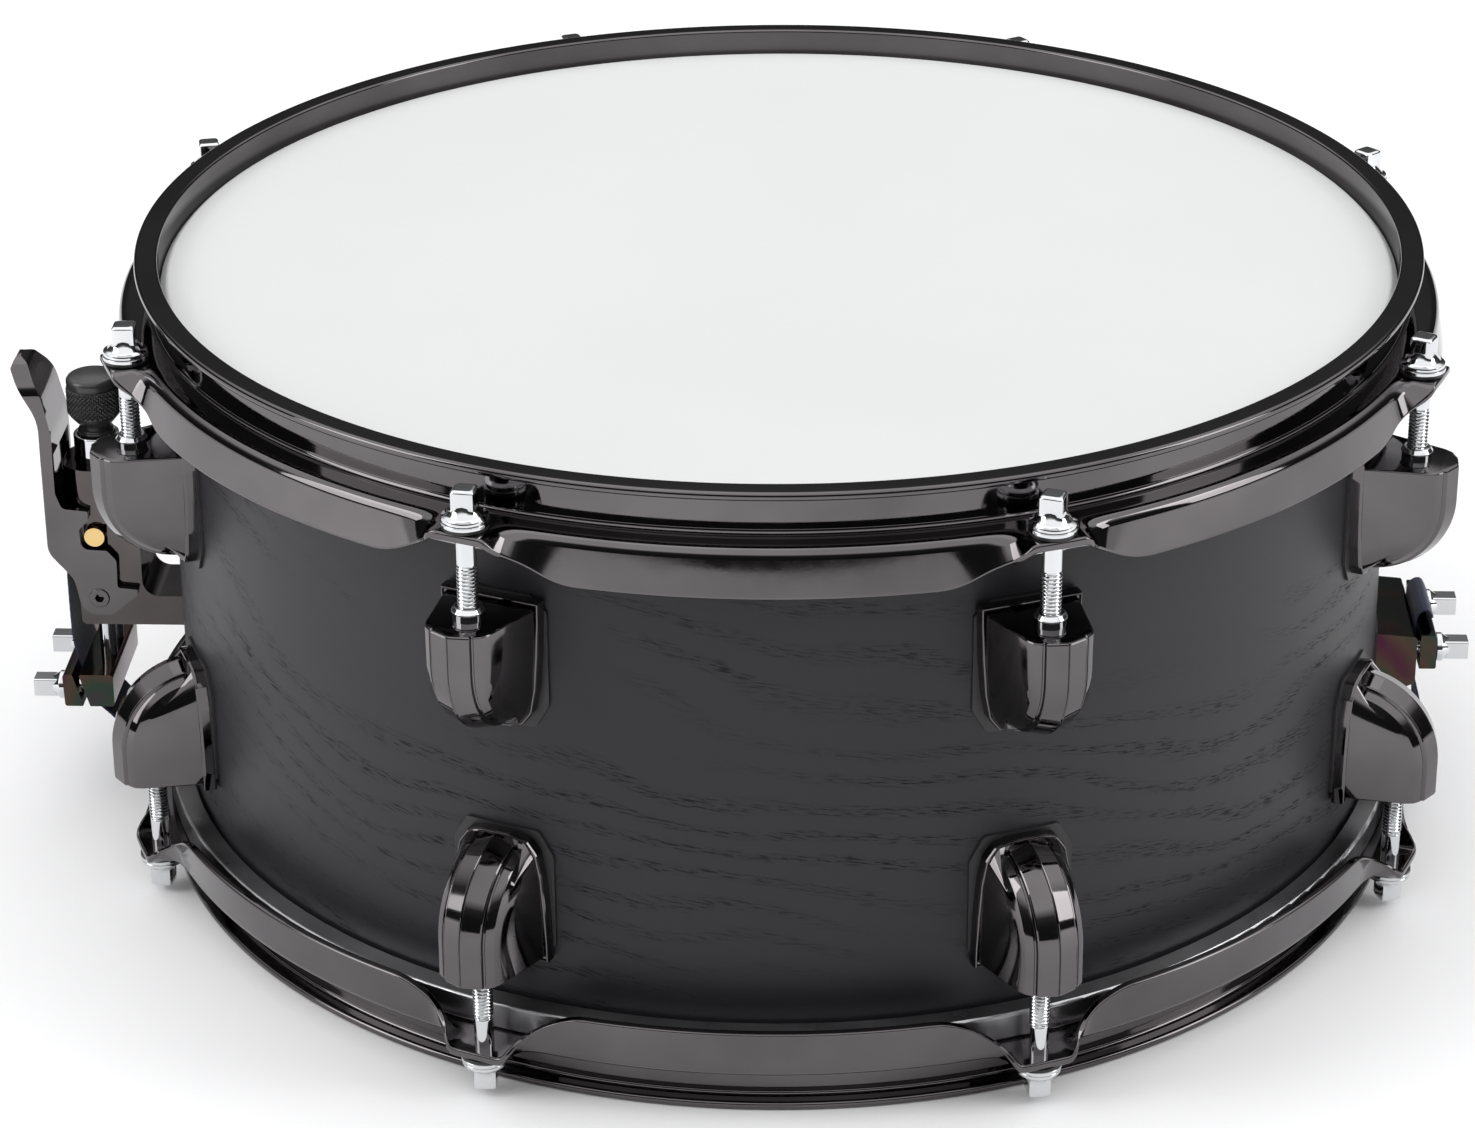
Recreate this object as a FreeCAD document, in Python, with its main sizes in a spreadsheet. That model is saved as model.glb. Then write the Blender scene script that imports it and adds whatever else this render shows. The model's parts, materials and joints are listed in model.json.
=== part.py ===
import FreeCAD, Part
import math
import os

import PartDesign
import Sketcher
from FreeCAD import Placement, Rotation, Vector

# Snare drum, 14 by 6.5 inches.  Millimetres, +Z up, origin on the drum's axis in the
# plane of the bottom hoop's lip.  The throw-off is at -X and the butt end at +X.
# Parts that sit round the shell are drawn on the +X side, with x as the distance from the
# drum's axis, and are turned to their place by their Placement.

doc = FreeCAD.newDocument("SnareDrum")
sheet = doc.addObject("Spreadsheet::Sheet", "Dims")


class Size(float):
    """A length that also knows the spreadsheet formula it comes from."""

    def __new__(cls, value, formula):
        size = super().__new__(cls, value)
        size.formula = formula
        return size

    def __add__(self, other):
        return Size(float(self) + float(other), f"({self.formula} + {formula_of(other)})")

    def __radd__(self, other):
        return Size(float(other) + float(self), f"({formula_of(other)} + {self.formula})")

    def __sub__(self, other):
        return Size(float(self) - float(other), f"({self.formula} - {formula_of(other)})")

    def __rsub__(self, other):
        return Size(float(other) - float(self), f"({formula_of(other)} - {self.formula})")

    def __mul__(self, other):
        return Size(float(self) * float(other), f"({self.formula} * {formula_of(other)})")

    def __rmul__(self, other):
        return self * other

    def __truediv__(self, other):
        return Size(float(self) / float(other), f"({self.formula} / {formula_of(other)})")

    def __neg__(self):
        return Size(-float(self), f"(0 - {self.formula})")


def formula_of(number):
    """The spreadsheet formula of a size, or a plain number as text."""
    if isinstance(number, Size):
        return number.formula
    return f"({float(number):.6f})"


def cell(alias, value, note):
    """Write one driving dimension to the sheet and return it as a Size."""
    row = len(written) + 1
    written.append(alias)
    sheet.set(f"A{row}", note)
    sheet.set(f"B{row}", str(value))
    sheet.setAlias(f"B{row}", alias)
    return Size(value, f"Dims.{alias}")


written = []

# ---------------------------------------------------------------- driving dimensions
drum_height = cell("drum_height", 180.2, "lip to lip over both hoops")
shell_radius = cell("shell_radius", 177.5, "outside of the shell")
shell_wall = cell("shell_wall", 6.0, "ply thickness")
shell_depth = cell("shell_depth", 165.1, "shell, edge to edge")
lug_count = cell("lug_count", 8, "lugs, ears and rods on each side")
snare_bed_depth = cell("snare_bed_depth", 1.2, "dip in the bottom edge where the ribbons pass")

sheet_steel = cell("sheet_steel", 2.3, "hoop thickness")
hoop_bore = cell("hoop_bore", 178.0, "inside radius of the hoop's wall")
lip_radius = cell("lip_radius", 184.65, "outside radius of the turned-out lip")
lip_height = cell("lip_height", 13.0, "ear face to lip")
skirt_radius = cell("skirt_radius", 191.5, "outside radius at the skirt's free edge")
top_skirt = cell("top_skirt", 13.0, "skirt depth of the top hoop")
bottom_skirt = cell("bottom_skirt", 14.7, "skirt depth of the bottom hoop")
ear_reach = cell("ear_reach", 198.0, "outer end of an ear")
ear_width = cell("ear_width", 24.0, "width of an ear")
gate_width = cell("gate_width", 64.0, "snare gates in the bottom hoop")

film = cell("film", 0.25, "head film thickness")
flesh_bore = cell("flesh_bore", 178.6, "inside radius of the flesh hoop")
flesh_radius = cell("flesh_radius", 184.5, "outside radius of the flesh hoop")
flesh_height = cell("flesh_height", 7.85, "height of the flesh hoop")

rod_circle = cell("rod_circle", 192.0, "radius on which the tension rods stand")
key_square = cell("key_square", 6.2, "square head for a drum key")
head_height = cell("head_height", 10.7, "rod head above the ear")
thread_radius = cell("thread_radius", 2.75, "thread crest")
thread_root = cell("thread_root", 2.35, "thread root")
thread_pitch = cell("thread_pitch", 1.06, "24 threads per inch")
thread_top = cell("thread_top", 10.5, "smooth shank below the ear face")
rod_length = cell("rod_length", 43.0, "rod tip below the ear face")

gasket = cell("gasket", 0.8, "gasket thickness under lugs and brackets")
lug_top = cell("lug_top", 141.6, "flat top of a top lug")
lug_bottom = cell("lug_bottom", 106.2, "lower end of a top lug")
lug_reach = cell("lug_reach", 204.0, "front of a lug")
lug_width = cell("lug_width", 28.0, "lug footprint width")
lug_sweep = cell("lug_sweep", 24.0, "radius of the lug's rounded belly")
insert_radius = cell("insert_radius", 4.1, "swivel insert")
insert_top = cell("insert_top", 145.2, "top of the insert's collar")
lug_screw_low = cell("lug_screw_low", 113.0, "height of the lower lug screw")
lug_screw_high = cell("lug_screw_high", 134.0, "height of the upper lug screw")
screw_shank = cell("screw_shank", 2.0, "shank radius of the mounting screws")

lever_axis = cell("lever_axis", 203.1, "throw-off pivot, from the drum's axis")
pivot_height = cell("pivot_height", 64.1, "throw-off pivot, height")
base_width = cell("base_width", 22.0, "throw-off body width")
cheek = cell("cheek", 2.0, "thickness of the lever's cheeks")
play = cell("play", 0.3, "gap between moving faces")
pin_rise = cell("pin_rise", 20.0, "cross pin above the pivot")
pin_radius = cell("pin_radius", 3.0, "cross pin and pivot screws")
slider_drop = cell("slider_drop", 4.56, "travel of the slider when the lever opens")
carriage_drop = cell("carriage_drop", 1.4, "travel of the clamp when the knob is loosened")
clamp_width = cell("clamp_width", 40.0, "width of the ribbon clamps")
ribbon_width = cell("ribbon_width", 22.0, "snare ribbon width")
ribbon_thick = cell("ribbon_thick", 0.9, "snare ribbon thickness")

wire_radius = cell("wire_radius", 1.0, "outside radius of one snare coil")
wire_count = cell("wire_count", 20, "snare strands")
wire_spacing = cell("wire_spacing", 2.2, "snare strands, centre to centre")
wire_reach = cell("wire_reach", 150.0, "half the length of the snare strands")
doc.recompute()

shell_base = (drum_height - shell_depth) / 2
shell_top = shell_base + shell_depth
ear_step = 360.0 / lug_count
seat = shell_radius + gasket
TURN = Rotation(Vector(0, 0, 1), 180)
FLIP = Rotation(Vector(1, 0, 0), 180)


# ---------------------------------------------------------------- modelling helpers
def bind(item, prop, size):
    """Set a property, bound to the sheet when the size comes from it."""
    if isinstance(size, Size):
        item.setExpression(prop, size.formula)
    else:
        setattr(item, prop, size)


def new_body(label):
    body = doc.addObject("PartDesign::Body", label)
    body.Label = label
    return body


def origin_part(body, role):
    """One of the body's own origin planes or axes, such as XY_Plane."""
    for feature in body.Origin.OriginFeatures:
        if feature.Role == role:
            return feature
    raise ValueError(role)


def new_sketch(body, plane, offset=0.0):
    """A sketch on one of the body's origin planes, moved along the plane's normal."""
    sketch = body.newObject("Sketcher::SketchObject", f"{body.Label}_sketch")
    sketch.AttachmentSupport = [(origin_part(body, plane), "")]
    sketch.MapMode = "FlatFace"
    if isinstance(offset, Size):
        sketch.setExpression("AttachmentOffset.Base.z", offset.formula)
    elif offset:
        sketch.AttachmentOffset = Placement(Vector(0, 0, offset), Rotation())
    return sketch


def hold(sketch, constraint, size):
    """Add a dimension to a sketch and bind it to the sheet."""
    index = sketch.addConstraint(constraint)
    if isinstance(size, Size):
        sketch.setExpression(f"Constraints[{index}]", size.formula)


def hold_point(sketch, item, end, x, y):
    """Fix a point of the sketch by its two distances from the origin."""
    hold(sketch, Sketcher.Constraint("DistanceX", -1, 1, item, end, float(x)), x)
    hold(sketch, Sketcher.Constraint("DistanceY", -1, 1, item, end, float(y)), y)


def outline(sketch, corners):
    """Draw a closed outline.  A corner is (x, y), or (x, y, radius) for a rounded one."""
    count = len(corners)
    points = [Vector(float(corner[0]), float(corner[1]), 0) for corner in corners]
    ends = []
    for i, corner in enumerate(corners):
        back = (points[i - 1] - points[i]).normalize()
        ahead = (points[(i + 1) % count] - points[i]).normalize()
        cut = 0.0
        if len(corner) == 3:
            half_angle = back.getAngle(ahead) / 2
            cut = float(corner[2]) / math.tan(half_angle)
        ends.append((points[i] + back * cut, points[i] + ahead * cut))
    first = sketch.GeometryCount
    for i in range(count):
        sketch.addGeometry(Part.LineSegment(ends[i][1], ends[(i + 1) % count][0]))
    for i, corner in enumerate(corners):
        line_in = first + (i - 1) % count
        line_out = first + i
        if len(corner) == 2:
            sketch.addConstraint(Sketcher.Constraint("Coincident", line_in, 2, line_out, 1))
            hold_point(sketch, line_out, 1, corner[0], corner[1])
        else:
            round_corner(sketch, corner, points[i], ends[i], line_in, line_out)


def round_corner(sketch, corner, point, ends, line_in, line_out):
    """Join two lines by a tangent arc, their crossing point held by a construction point."""
    radius = float(corner[2])
    middle = (ends[0] + ends[1]) * 0.5
    to_centre = (middle - point).normalize()
    half_chord = (ends[1] - ends[0]).Length / 2
    rise = math.sqrt(max(radius * radius - half_chord * half_chord, 0.0))
    centre = middle + to_centre * rise
    start_angle = math.atan2(ends[0].y - centre.y, ends[0].x - centre.x)
    end_angle = math.atan2(ends[1].y - centre.y, ends[1].x - centre.x)
    turns_left = (point - ends[0]).cross(ends[1] - point).z > 0
    if turns_left:
        angles = (start_angle, end_angle)
        arc_ends = (1, 2)
    else:
        angles = (end_angle, start_angle)
        arc_ends = (2, 1)
    if angles[1] < angles[0]:
        angles = (angles[0], angles[1] + 2 * math.pi)
    circle = Part.Circle(centre, Vector(0, 0, 1), radius)
    arc = sketch.addGeometry(Part.ArcOfCircle(circle, angles[0], angles[1]))
    sketch.addConstraint(Sketcher.Constraint("Tangent", line_in, 2, arc, arc_ends[0]))
    sketch.addConstraint(Sketcher.Constraint("Tangent", line_out, 1, arc, arc_ends[1]))
    hold(sketch, Sketcher.Constraint("Radius", arc, radius), corner[2])
    crossing = sketch.addGeometry(Part.Point(point), True)
    hold_point(sketch, crossing, 1, corner[0], corner[1])
    sketch.addConstraint(Sketcher.Constraint("PointOnObject", crossing, 1, line_in))
    sketch.addConstraint(Sketcher.Constraint("PointOnObject", crossing, 1, line_out))


def circle(sketch, x, y, radius):
    """Draw a circle with its centre and radius bound."""
    item = sketch.addGeometry(Part.Circle(Vector(float(x), float(y), 0), Vector(0, 0, 1), float(radius)))
    hold_point(sketch, item, 3, x, y)
    hold(sketch, Sketcher.Constraint("Radius", item, float(radius)), radius)


def box_corners(low_x, low_y, high_x, high_y):
    return [(low_x, low_y), (high_x, low_y), (high_x, high_y), (low_x, high_y)]


def revolve(body, corners):
    """Turn an outline in the XZ plane, given as (radius, height), about the body's Z axis."""
    sketch = new_sketch(body, "XZ_Plane")
    outline(sketch, corners)
    feature = body.newObject("PartDesign::Revolution", f"{body.Label}_turned")
    feature.Profile = sketch
    feature.ReferenceAxis = (sketch, ["V_Axis"])
    feature.Angle = 360
    return feature


def pad(body, sketch, length, midplane=False):
    feature = body.newObject("PartDesign::Pad", f"{body.Label}_pad")
    feature.Profile = sketch
    bind(feature, "Length", length)
    feature.Midplane = midplane
    return feature


def pocket(body, sketch, length, midplane=False, reverse=False):
    """Cut a sketch out of the body; without reverse it cuts against the plane's normal."""
    before = body.Shape.Volume
    feature = body.newObject("PartDesign::Pocket", f"{body.Label}_cut")
    feature.Profile = sketch
    bind(feature, "Length", length)
    feature.Midplane = midplane
    feature.Reversed = reverse
    doc.recompute()
    if not feature.Shape.Volume < before - 0.01:
        raise ValueError(f"{feature.Name} cut nothing")
    return feature


def pattern(body, features, count):
    """Repeat features round the body's Z axis."""
    feature = body.newObject("PartDesign::PolarPattern", f"{body.Label}_ring")
    feature.Originals = features
    feature.Axis = (origin_part(body, "Z_Axis"), [""])
    feature.Angle = 360
    bind(feature, "Occurrences", count)
    body.Tip = feature
    return feature


def side_pad(body, corners, width):
    """A plate drawn in side view (distance from the drum's axis, height), centred on y = 0."""
    sketch = new_sketch(body, "XZ_Plane")
    outline(sketch, corners)
    return pad(body, sketch, width, midplane=True)


def side_cut(body, corners, width):
    sketch = new_sketch(body, "XZ_Plane")
    outline(sketch, corners)
    doc.recompute()
    return pocket(body, sketch, width, midplane=True)


def curve_back(body, radius, depth):
    """Cut a bracket's back to the drum's curve."""
    sketch = new_sketch(body, "XY_Plane")
    circle(sketch, 0.0, 0.0, radius)
    doc.recompute()
    pocket(body, sketch, depth, midplane=True)


def radial_bores(body, places, radius, start, length):
    """Round bores that run outwards from the given distance, at (y, z) places."""
    sketch = new_sketch(body, "YZ_Plane", start)
    for y, z in places:
        circle(sketch, y, z, radius)
    doc.recompute()
    pocket(body, sketch, length, reverse=True)


def upright_bores(body, places, radius, bottom, length):
    """Round bores that run upwards from a height, at (x, y) places."""
    sketch = new_sketch(body, "XY_Plane", bottom)
    for x, y in places:
        circle(sketch, x, y, radius)
    doc.recompute()
    pocket(body, sketch, length, reverse=True)


def copies(label, master, placements):
    """A group of separate solids: the master repeated at each placement, in one node."""
    links = []
    for placement in placements:
        link = doc.addObject("App::Link", f"{label}_item")
        link.setLink(master)
        link.Placement = placement
        links.append(link)
    group = doc.addObject("Part::Compound", label)
    group.Label = label
    group.Links = links
    return group


def single(label, master, placement):
    """One node that repeats a master piece at its own placement."""
    link = doc.addObject("App::Link", label)
    link.setLink(master)
    link.Label = label
    link.Placement = placement
    return link


def round_the_drum(index, height=0.0, flipped=False, radius=0.0):
    """Where the piece of one lug position stands; flipped turns it upside down."""
    angle = (index + 0.5) * float(ear_step)
    turn = Rotation(Vector(0, 0, 1), angle)
    tilt = FLIP if flipped else Rotation()
    return Placement(turn.multVec(Vector(float(radius), 0, float(height))), turn.multiply(tilt))


def both_sides(height, radius=0.0):
    """The places of a piece that stands at every lug position, above and, mirrored, below."""
    places = []
    for index in range(int(lug_count)):
        places.append(round_the_drum(index, height, radius=radius))
    for index in range(int(lug_count)):
        places.append(round_the_drum(index, drum_height - height, flipped=True, radius=radius))
    return places


# ---------------------------------------------------------------- shell and vent
VENT_RADIUS = 5.0
EDGE_APEX = 3.0


def make_shell():
    """Ply shell with bearing edges, snare beds and all its screw holes."""
    body = new_body("shell")
    inner = shell_radius - shell_wall
    revolve(body, [
        (inner, shell_base + EDGE_APEX),
        (inner + EDGE_APEX, shell_base),
        (inner + EDGE_APEX + 0.4, shell_base),
        (shell_radius - 1.3, shell_base + 0.9),
        (shell_radius, shell_base + 2.9),
        (shell_radius, shell_top - 2.9),
        (shell_radius - 1.3, shell_top - 0.9),
        (inner + EDGE_APEX + 0.4, shell_top),
        (inner + EDGE_APEX, shell_top),
        (inner, shell_top - EDGE_APEX),
    ])
    doc.recompute()
    bed = new_sketch(body, "YZ_Plane")
    outline(bed, box_corners(-gate_width / 2, 0.0, gate_width / 2, shell_base + snare_bed_depth))
    doc.recompute()
    pocket(body, bed, 4 * shell_radius, midplane=True)
    heights = [lug_screw_low, lug_screw_high, drum_height - lug_screw_low, drum_height - lug_screw_high]
    for index in range(int(lug_count) // 2):
        drill_across(body, (index + 0.5) * float(ear_step), heights, screw_shank + 0.4)
    depth = shell_wall + 2.0
    radial_bores(body, [(0.0, height) for height in BRACKET_SCREWS[:2]], screw_shank + 0.4, -shell_radius - 1.0, depth)
    radial_bores(body, [(0.0, height) for height in BRACKET_SCREWS[2:]], screw_shank + 0.4, inner - 1.0, depth)
    vent = new_sketch(body, "XZ_Plane")
    circle(vent, 0.0, drum_height / 2, VENT_RADIUS)
    doc.recompute()
    pocket(body, vent, 2 * shell_radius, reverse=False)
    return body


def drill_across(body, angle, heights, radius):
    """Holes right across the shell, at an angle from the X axis."""
    sketch = body.newObject("Sketcher::SketchObject", "shell_holes")
    sketch.AttachmentSupport = [(origin_part(body, "YZ_Plane"), "")]
    sketch.MapMode = "FlatFace"
    sketch.AttachmentOffset = Placement(Vector(), Rotation(Vector(0, 1, 0), angle))
    for height in heights:
        circle(sketch, 0.0, height, radius)
    doc.recompute()
    pocket(body, sketch, 4 * shell_radius, midplane=True)


BRACKET_SCREWS = [59.0, 93.0, 47.0, 56.0]


def make_vent():
    """Vent eyelet and its locking ring, turned about their own axis."""
    eyelet = new_body("vent_eyelet")
    revolve(eyelet, [
        (VENT_RADIUS - 1.2, -shell_wall - 1.0),
        (VENT_RADIUS - 0.2, -shell_wall - 1.0),
        (VENT_RADIUS - 0.2, 0.2),
        (VENT_RADIUS + 2.8, 0.2, 0.4),
        (VENT_RADIUS + 2.0, 1.4, 0.8),
        (VENT_RADIUS - 1.2, 1.4),
    ])
    ring = new_body("vent_ring")
    revolve(ring, [
        (VENT_RADIUS - 0.1, -shell_wall - 1.3),
        (VENT_RADIUS + 2.6, -shell_wall - 1.3),
        (VENT_RADIUS + 2.6, -shell_wall - 0.4),
        (VENT_RADIUS - 0.1, -shell_wall - 0.4),
    ])
    outwards = Rotation(Vector(0, 0, 1), Vector(0, 1, 0))
    place = Placement(Vector(0, float(shell_radius), float(drum_height) / 2), outwards)
    eyelet.Placement = place
    ring.Placement = place
    return [eyelet, ring]


# ---------------------------------------------------------------- hoops
def make_hoop(label, skirt, gated):
    """Triple-flanged hoop in its own frame: ear face at z = 0, lip upwards."""
    body = new_body(label)
    wall = hoop_bore + sheet_steel
    revolve(body, [
        (hoop_bore, lip_height),
        (lip_radius, lip_height, 0.8),
        (lip_radius, lip_height - sheet_steel, 0.8),
        (wall, lip_height - sheet_steel, 0.6),
        (wall, 0.0, 0.6),
        (skirt_radius - 2.6, 0.0, 2.0),
        (skirt_radius, -skirt, 0.5),
        (skirt_radius - sheet_steel, -skirt, 0.5),
        (skirt_radius - 2.6 - sheet_steel, -sheet_steel, 0.4),
        (hoop_bore, -sheet_steel),
    ])
    doc.recompute()
    notch = new_sketch(body, "XY_Plane", -skirt - 1.0)
    outline(notch, box_corners(skirt_radius - 6.0, -ear_width * 0.62, skirt_radius + 3.0, ear_width * 0.62))
    doc.recompute()
    notch_cut = pocket(body, notch, skirt + 1.0 - sheet_steel, reverse=True)
    ear = new_sketch(body, "XY_Plane", -sheet_steel)
    outline(ear, [
        (lip_radius - 2.0, -ear_width * 0.62),
        (skirt_radius - 3.0, -ear_width * 0.62),
        (ear_reach, -ear_width / 2, 3.0),
        (ear_reach, ear_width / 2, 3.0),
        (skirt_radius - 3.0, ear_width * 0.62),
        (lip_radius - 2.0, ear_width * 0.62),
    ])
    ear_pad = pad(body, ear, sheet_steel)
    doc.recompute()
    hole = new_sketch(body, "XY_Plane", -sheet_steel)
    circle(hole, rod_circle, 0.0, thread_radius + 1.1)
    doc.recompute()
    hole_cut = pocket(body, hole, sheet_steel, reverse=True)
    pattern(body, [notch_cut, ear_pad, hole_cut], lug_count)
    doc.recompute()
    if gated:
        turned = new_sketch(body, "YZ_Plane")
        turned.AttachmentOffset = Placement(Vector(), Rotation(Vector(0, 1, 0), float(ear_step) / 2))
        outline(turned, box_corners(-gate_width / 2, 0.05, gate_width / 2, lip_height + 1.0))
        doc.recompute()
        pocket(body, turned, 4 * lip_radius, midplane=True)
    return body


def make_hoops():
    top = make_hoop("top_hoop", top_skirt, gated=False)
    top.Placement = round_the_drum(0, drum_height - lip_height)
    bottom = make_hoop("bottom_hoop", bottom_skirt, gated=True)
    bottom.Placement = round_the_drum(0, lip_height, flipped=True)
    return [top, bottom]


# ---------------------------------------------------------------- heads
def make_head(label, flipped):
    """Film pulled over the bearing edge, and the flesh hoop that holds its rim."""
    rise = 0.05
    top = shell_top + rise
    rim = drum_height - lip_height - sheet_steel - 4.5
    bend = shell_radius + 0.1
    skin = new_body(f"{label}_film")
    revolve(skin, [
        (0.0, top),
        (bend - 1.9, top, 1.2),
        (bend, top - 2.0, 1.2),
        (bend, rim),
        (flesh_radius - 2.5, rim),
        (flesh_radius - 2.5, rim + film),
        (bend + film, rim + film),
        (bend + film, top - 2.0 + film / 2, 1.4),
        (bend - 1.9 + film / 2, top + film, 1.4),
        (0.0, top + film),
    ])
    ring = new_body(f"{label}_ring")
    crown = rim + 4.45
    revolve(ring, [
        (flesh_bore, crown - flesh_height),
        (flesh_radius, crown - flesh_height, 0.8),
        (flesh_radius, crown, 0.8),
        (flesh_bore, crown),
        (flesh_bore, rim + film + 0.05),
        (flesh_radius - 2.4, rim + film + 0.05),
        (flesh_radius - 2.4, rim - 0.05),
        (flesh_bore, rim - 0.05),
    ])
    if flipped:
        skin.Placement = Placement(Vector(0, 0, float(drum_height)), FLIP)
        ring.Placement = Placement(Vector(0, 0, float(drum_height)), FLIP)
    return [skin, ring]


# ---------------------------------------------------------------- lugs
def make_lug():
    """One top lug on the +X side, its belly rounded down to the shell."""
    body = new_body("lug")
    side_pad(body, [
        (seat - 2.5, lug_bottom + 0.6),
        (lug_reach, lug_bottom + 0.6, lug_sweep),
        (lug_reach, lug_top, 1.2),
        (seat - 2.5, lug_top),
    ], lug_width)
    doc.recompute()
    flanks = new_sketch(body, "XY_Plane")
    for side in (1, -1):
        outline(flanks, [
            (seat + 1.4, side * (lug_width / 2 + 1.0)),
            (seat + 1.4, side * (lug_width / 2 - 1.6)),
            (lug_reach - 7.5, side * (lug_width / 2 - 6.2)),
            (lug_reach - 7.1, side * (lug_width / 2 - 6.9)),
            (lug_reach - 2.4, side * (lug_width / 2 - 7.3)),
            (lug_reach, side * (lug_width / 2 - 11.1)),
            (lug_reach + 2.0, side * (lug_width / 2 - 11.1)),
            (lug_reach + 2.0, side * (lug_width / 2 + 1.0)),
        ])
    doc.recompute()
    pocket(body, flanks, 2 * drum_height, midplane=True)
    foot = new_sketch(body, "YZ_Plane", seat - 2.5)
    outline(foot, shield(0.0))
    pad(body, foot, 4.1)
    doc.recompute()
    curve_back(body, seat, 2 * drum_height)
    upright_bores(body, [(rod_circle, 0.0)], insert_radius + 0.1, lug_top - 20.0, 30.0)
    radial_bores(body, [(0.0, lug_screw_low), (0.0, lug_screw_high)], screw_shank + 0.15, seat - 5.0, 13.2)
    return body


def shield(grow):
    """The lug's footprint in (y, z): straight sides, chamfered top corners, rounded foot."""
    half = lug_width / 2 + grow
    top = lug_top + 1.4 + grow
    bottom = lug_bottom - grow
    return [
        (-half + 4.0, bottom, 2.0),
        (half - 4.0, bottom, 2.0),
        (half, bottom + 7.0, 3.0),
        (half, top - 4.5, 1.0),
        (half - 4.5, top, 1.0),
        (-half + 4.5, top, 1.0),
        (-half, top - 4.5, 1.0),
        (-half, bottom + 7.0, 3.0),
    ]


def make_lug_gasket():
    """Thin gasket that follows the shell, a little wider than the lug's footprint."""
    body = new_body("lug_gasket")
    sketch = new_sketch(body, "YZ_Plane", seat - 6.0)
    outline(sketch, shield(0.7))
    pad(body, sketch, 10.0)
    doc.recompute()
    curve_back(body, shell_radius, 2 * drum_height)
    trim = new_sketch(body, "XY_Plane")
    circle(trim, 0.0, 0.0, seat)
    circle(trim, 0.0, 0.0, seat + 20.0)
    doc.recompute()
    pocket(body, trim, 2 * drum_height, midplane=True)
    radial_bores(body, [(0.0, lug_screw_low), (0.0, lug_screw_high)], screw_shank + 0.3, seat - 8.0, 12.0)
    return body


def make_insert():
    """Swivel insert in its own frame: z = 0 at the lug's top face."""
    body = new_body("insert")
    bore = thread_radius + 0.08
    collar = insert_top - lug_top
    revolve(body, [
        (bore, -17.0),
        (insert_radius, -17.0, 0.5),
        (insert_radius, collar - 1.6, 0.2),
        (insert_radius + 0.35, collar - 1.2, 0.2),
        (insert_radius - 0.5, collar, 0.4),
        (bore, collar),
    ])
    return body


def make_mounting_screw():
    """Pan-head screw along +X, with x = 0 at the shell's inner face."""
    body = new_body("mounting_screw")
    revolve(body, [
        (0.0, -3.4),
        (2.0, -3.4, 0.6),
        (3.9, -2.6, 0.8),
        (3.9, -0.9),
        (screw_shank, -0.9),
        (screw_shank, 13.0),
        (0.0, 13.0),
    ])
    body.Placement = Placement(Vector(), Rotation(Vector(0, 0, 1), Vector(1, 0, 0)))
    return body


def make_screw_washer():
    """Washer between a mounting screw's head and the shell."""
    body = new_body("screw_washer")
    revolve(body, [
        (screw_shank + 0.2, -0.85),
        (4.6, -0.85),
        (4.6, -0.1),
        (screw_shank + 0.2, -0.1),
    ])
    body.Placement = Placement(Vector(), Rotation(Vector(0, 0, 1), Vector(1, 0, 0)))
    return body


def screw_places():
    """The thirty-two lug screws, from inside the shell."""
    lay_down = Rotation(Vector(0, 0, 1), Vector(1, 0, 0))
    inner_radius = float(shell_radius - shell_wall)
    places = []
    for index in range(int(lug_count)):
        turn = Rotation(Vector(0, 0, 1), (index + 0.5) * float(ear_step))
        for height in (lug_screw_low, lug_screw_high):
            for level in (float(height), float(drum_height - height)):
                place = turn.multVec(Vector(inner_radius, 0, level))
                places.append(Placement(place, turn.multiply(lay_down)))
    return places


# ---------------------------------------------------------------- tension rods
WASHER_STACK = 2.0


def make_rod():
    """Tension rod in its own frame: z = 0 at the ear's outer face, head upwards."""
    body = new_body("rod")
    seat_height = WASHER_STACK + 0.05
    collar = thread_radius + 3.4
    corners = [(0.0, -rod_length)]
    corners.append((thread_root, -rod_length))
    turns = int((rod_length - thread_top - 1.0) / thread_pitch)
    for turn in range(turns):
        height = -rod_length + 0.6 + turn * thread_pitch
        corners.append((thread_radius, height))
        corners.append((thread_root, height + thread_pitch / 2))
    shank = thread_radius - 0.15
    corners.append((shank, -thread_top))
    corners.append((shank, seat_height))
    corners.append((collar, seat_height))
    corners.append((collar, seat_height + 1.2))
    corners.append((collar - 1.1, seat_height + 1.5))
    corners.append((key_square / 2 + 0.1, head_height - 5.6))
    corners.append((key_square / 2 - 0.6, head_height - 5.0))
    corners.append((0.0, head_height - 5.0))
    revolve(body, corners)
    doc.recompute()
    square = new_sketch(body, "XY_Plane", seat_height + 1.0)
    half = key_square / 2
    outline(square, [(-half, -half, 0.5), (half, -half, 0.5), (half, half, 0.5), (-half, half, 0.5)])
    pad(body, square, head_height - seat_height - 1.0)
    return body


def make_rod_washer(label, low, high, radius):
    """Washer under a rod head, in the rod's frame."""
    body = new_body(label)
    revolve(body, [
        (thread_radius + 0.05, low),
        (radius, low, 0.2),
        (radius, high, 0.2),
        (thread_radius + 0.05, high),
    ])
    return body


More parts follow.
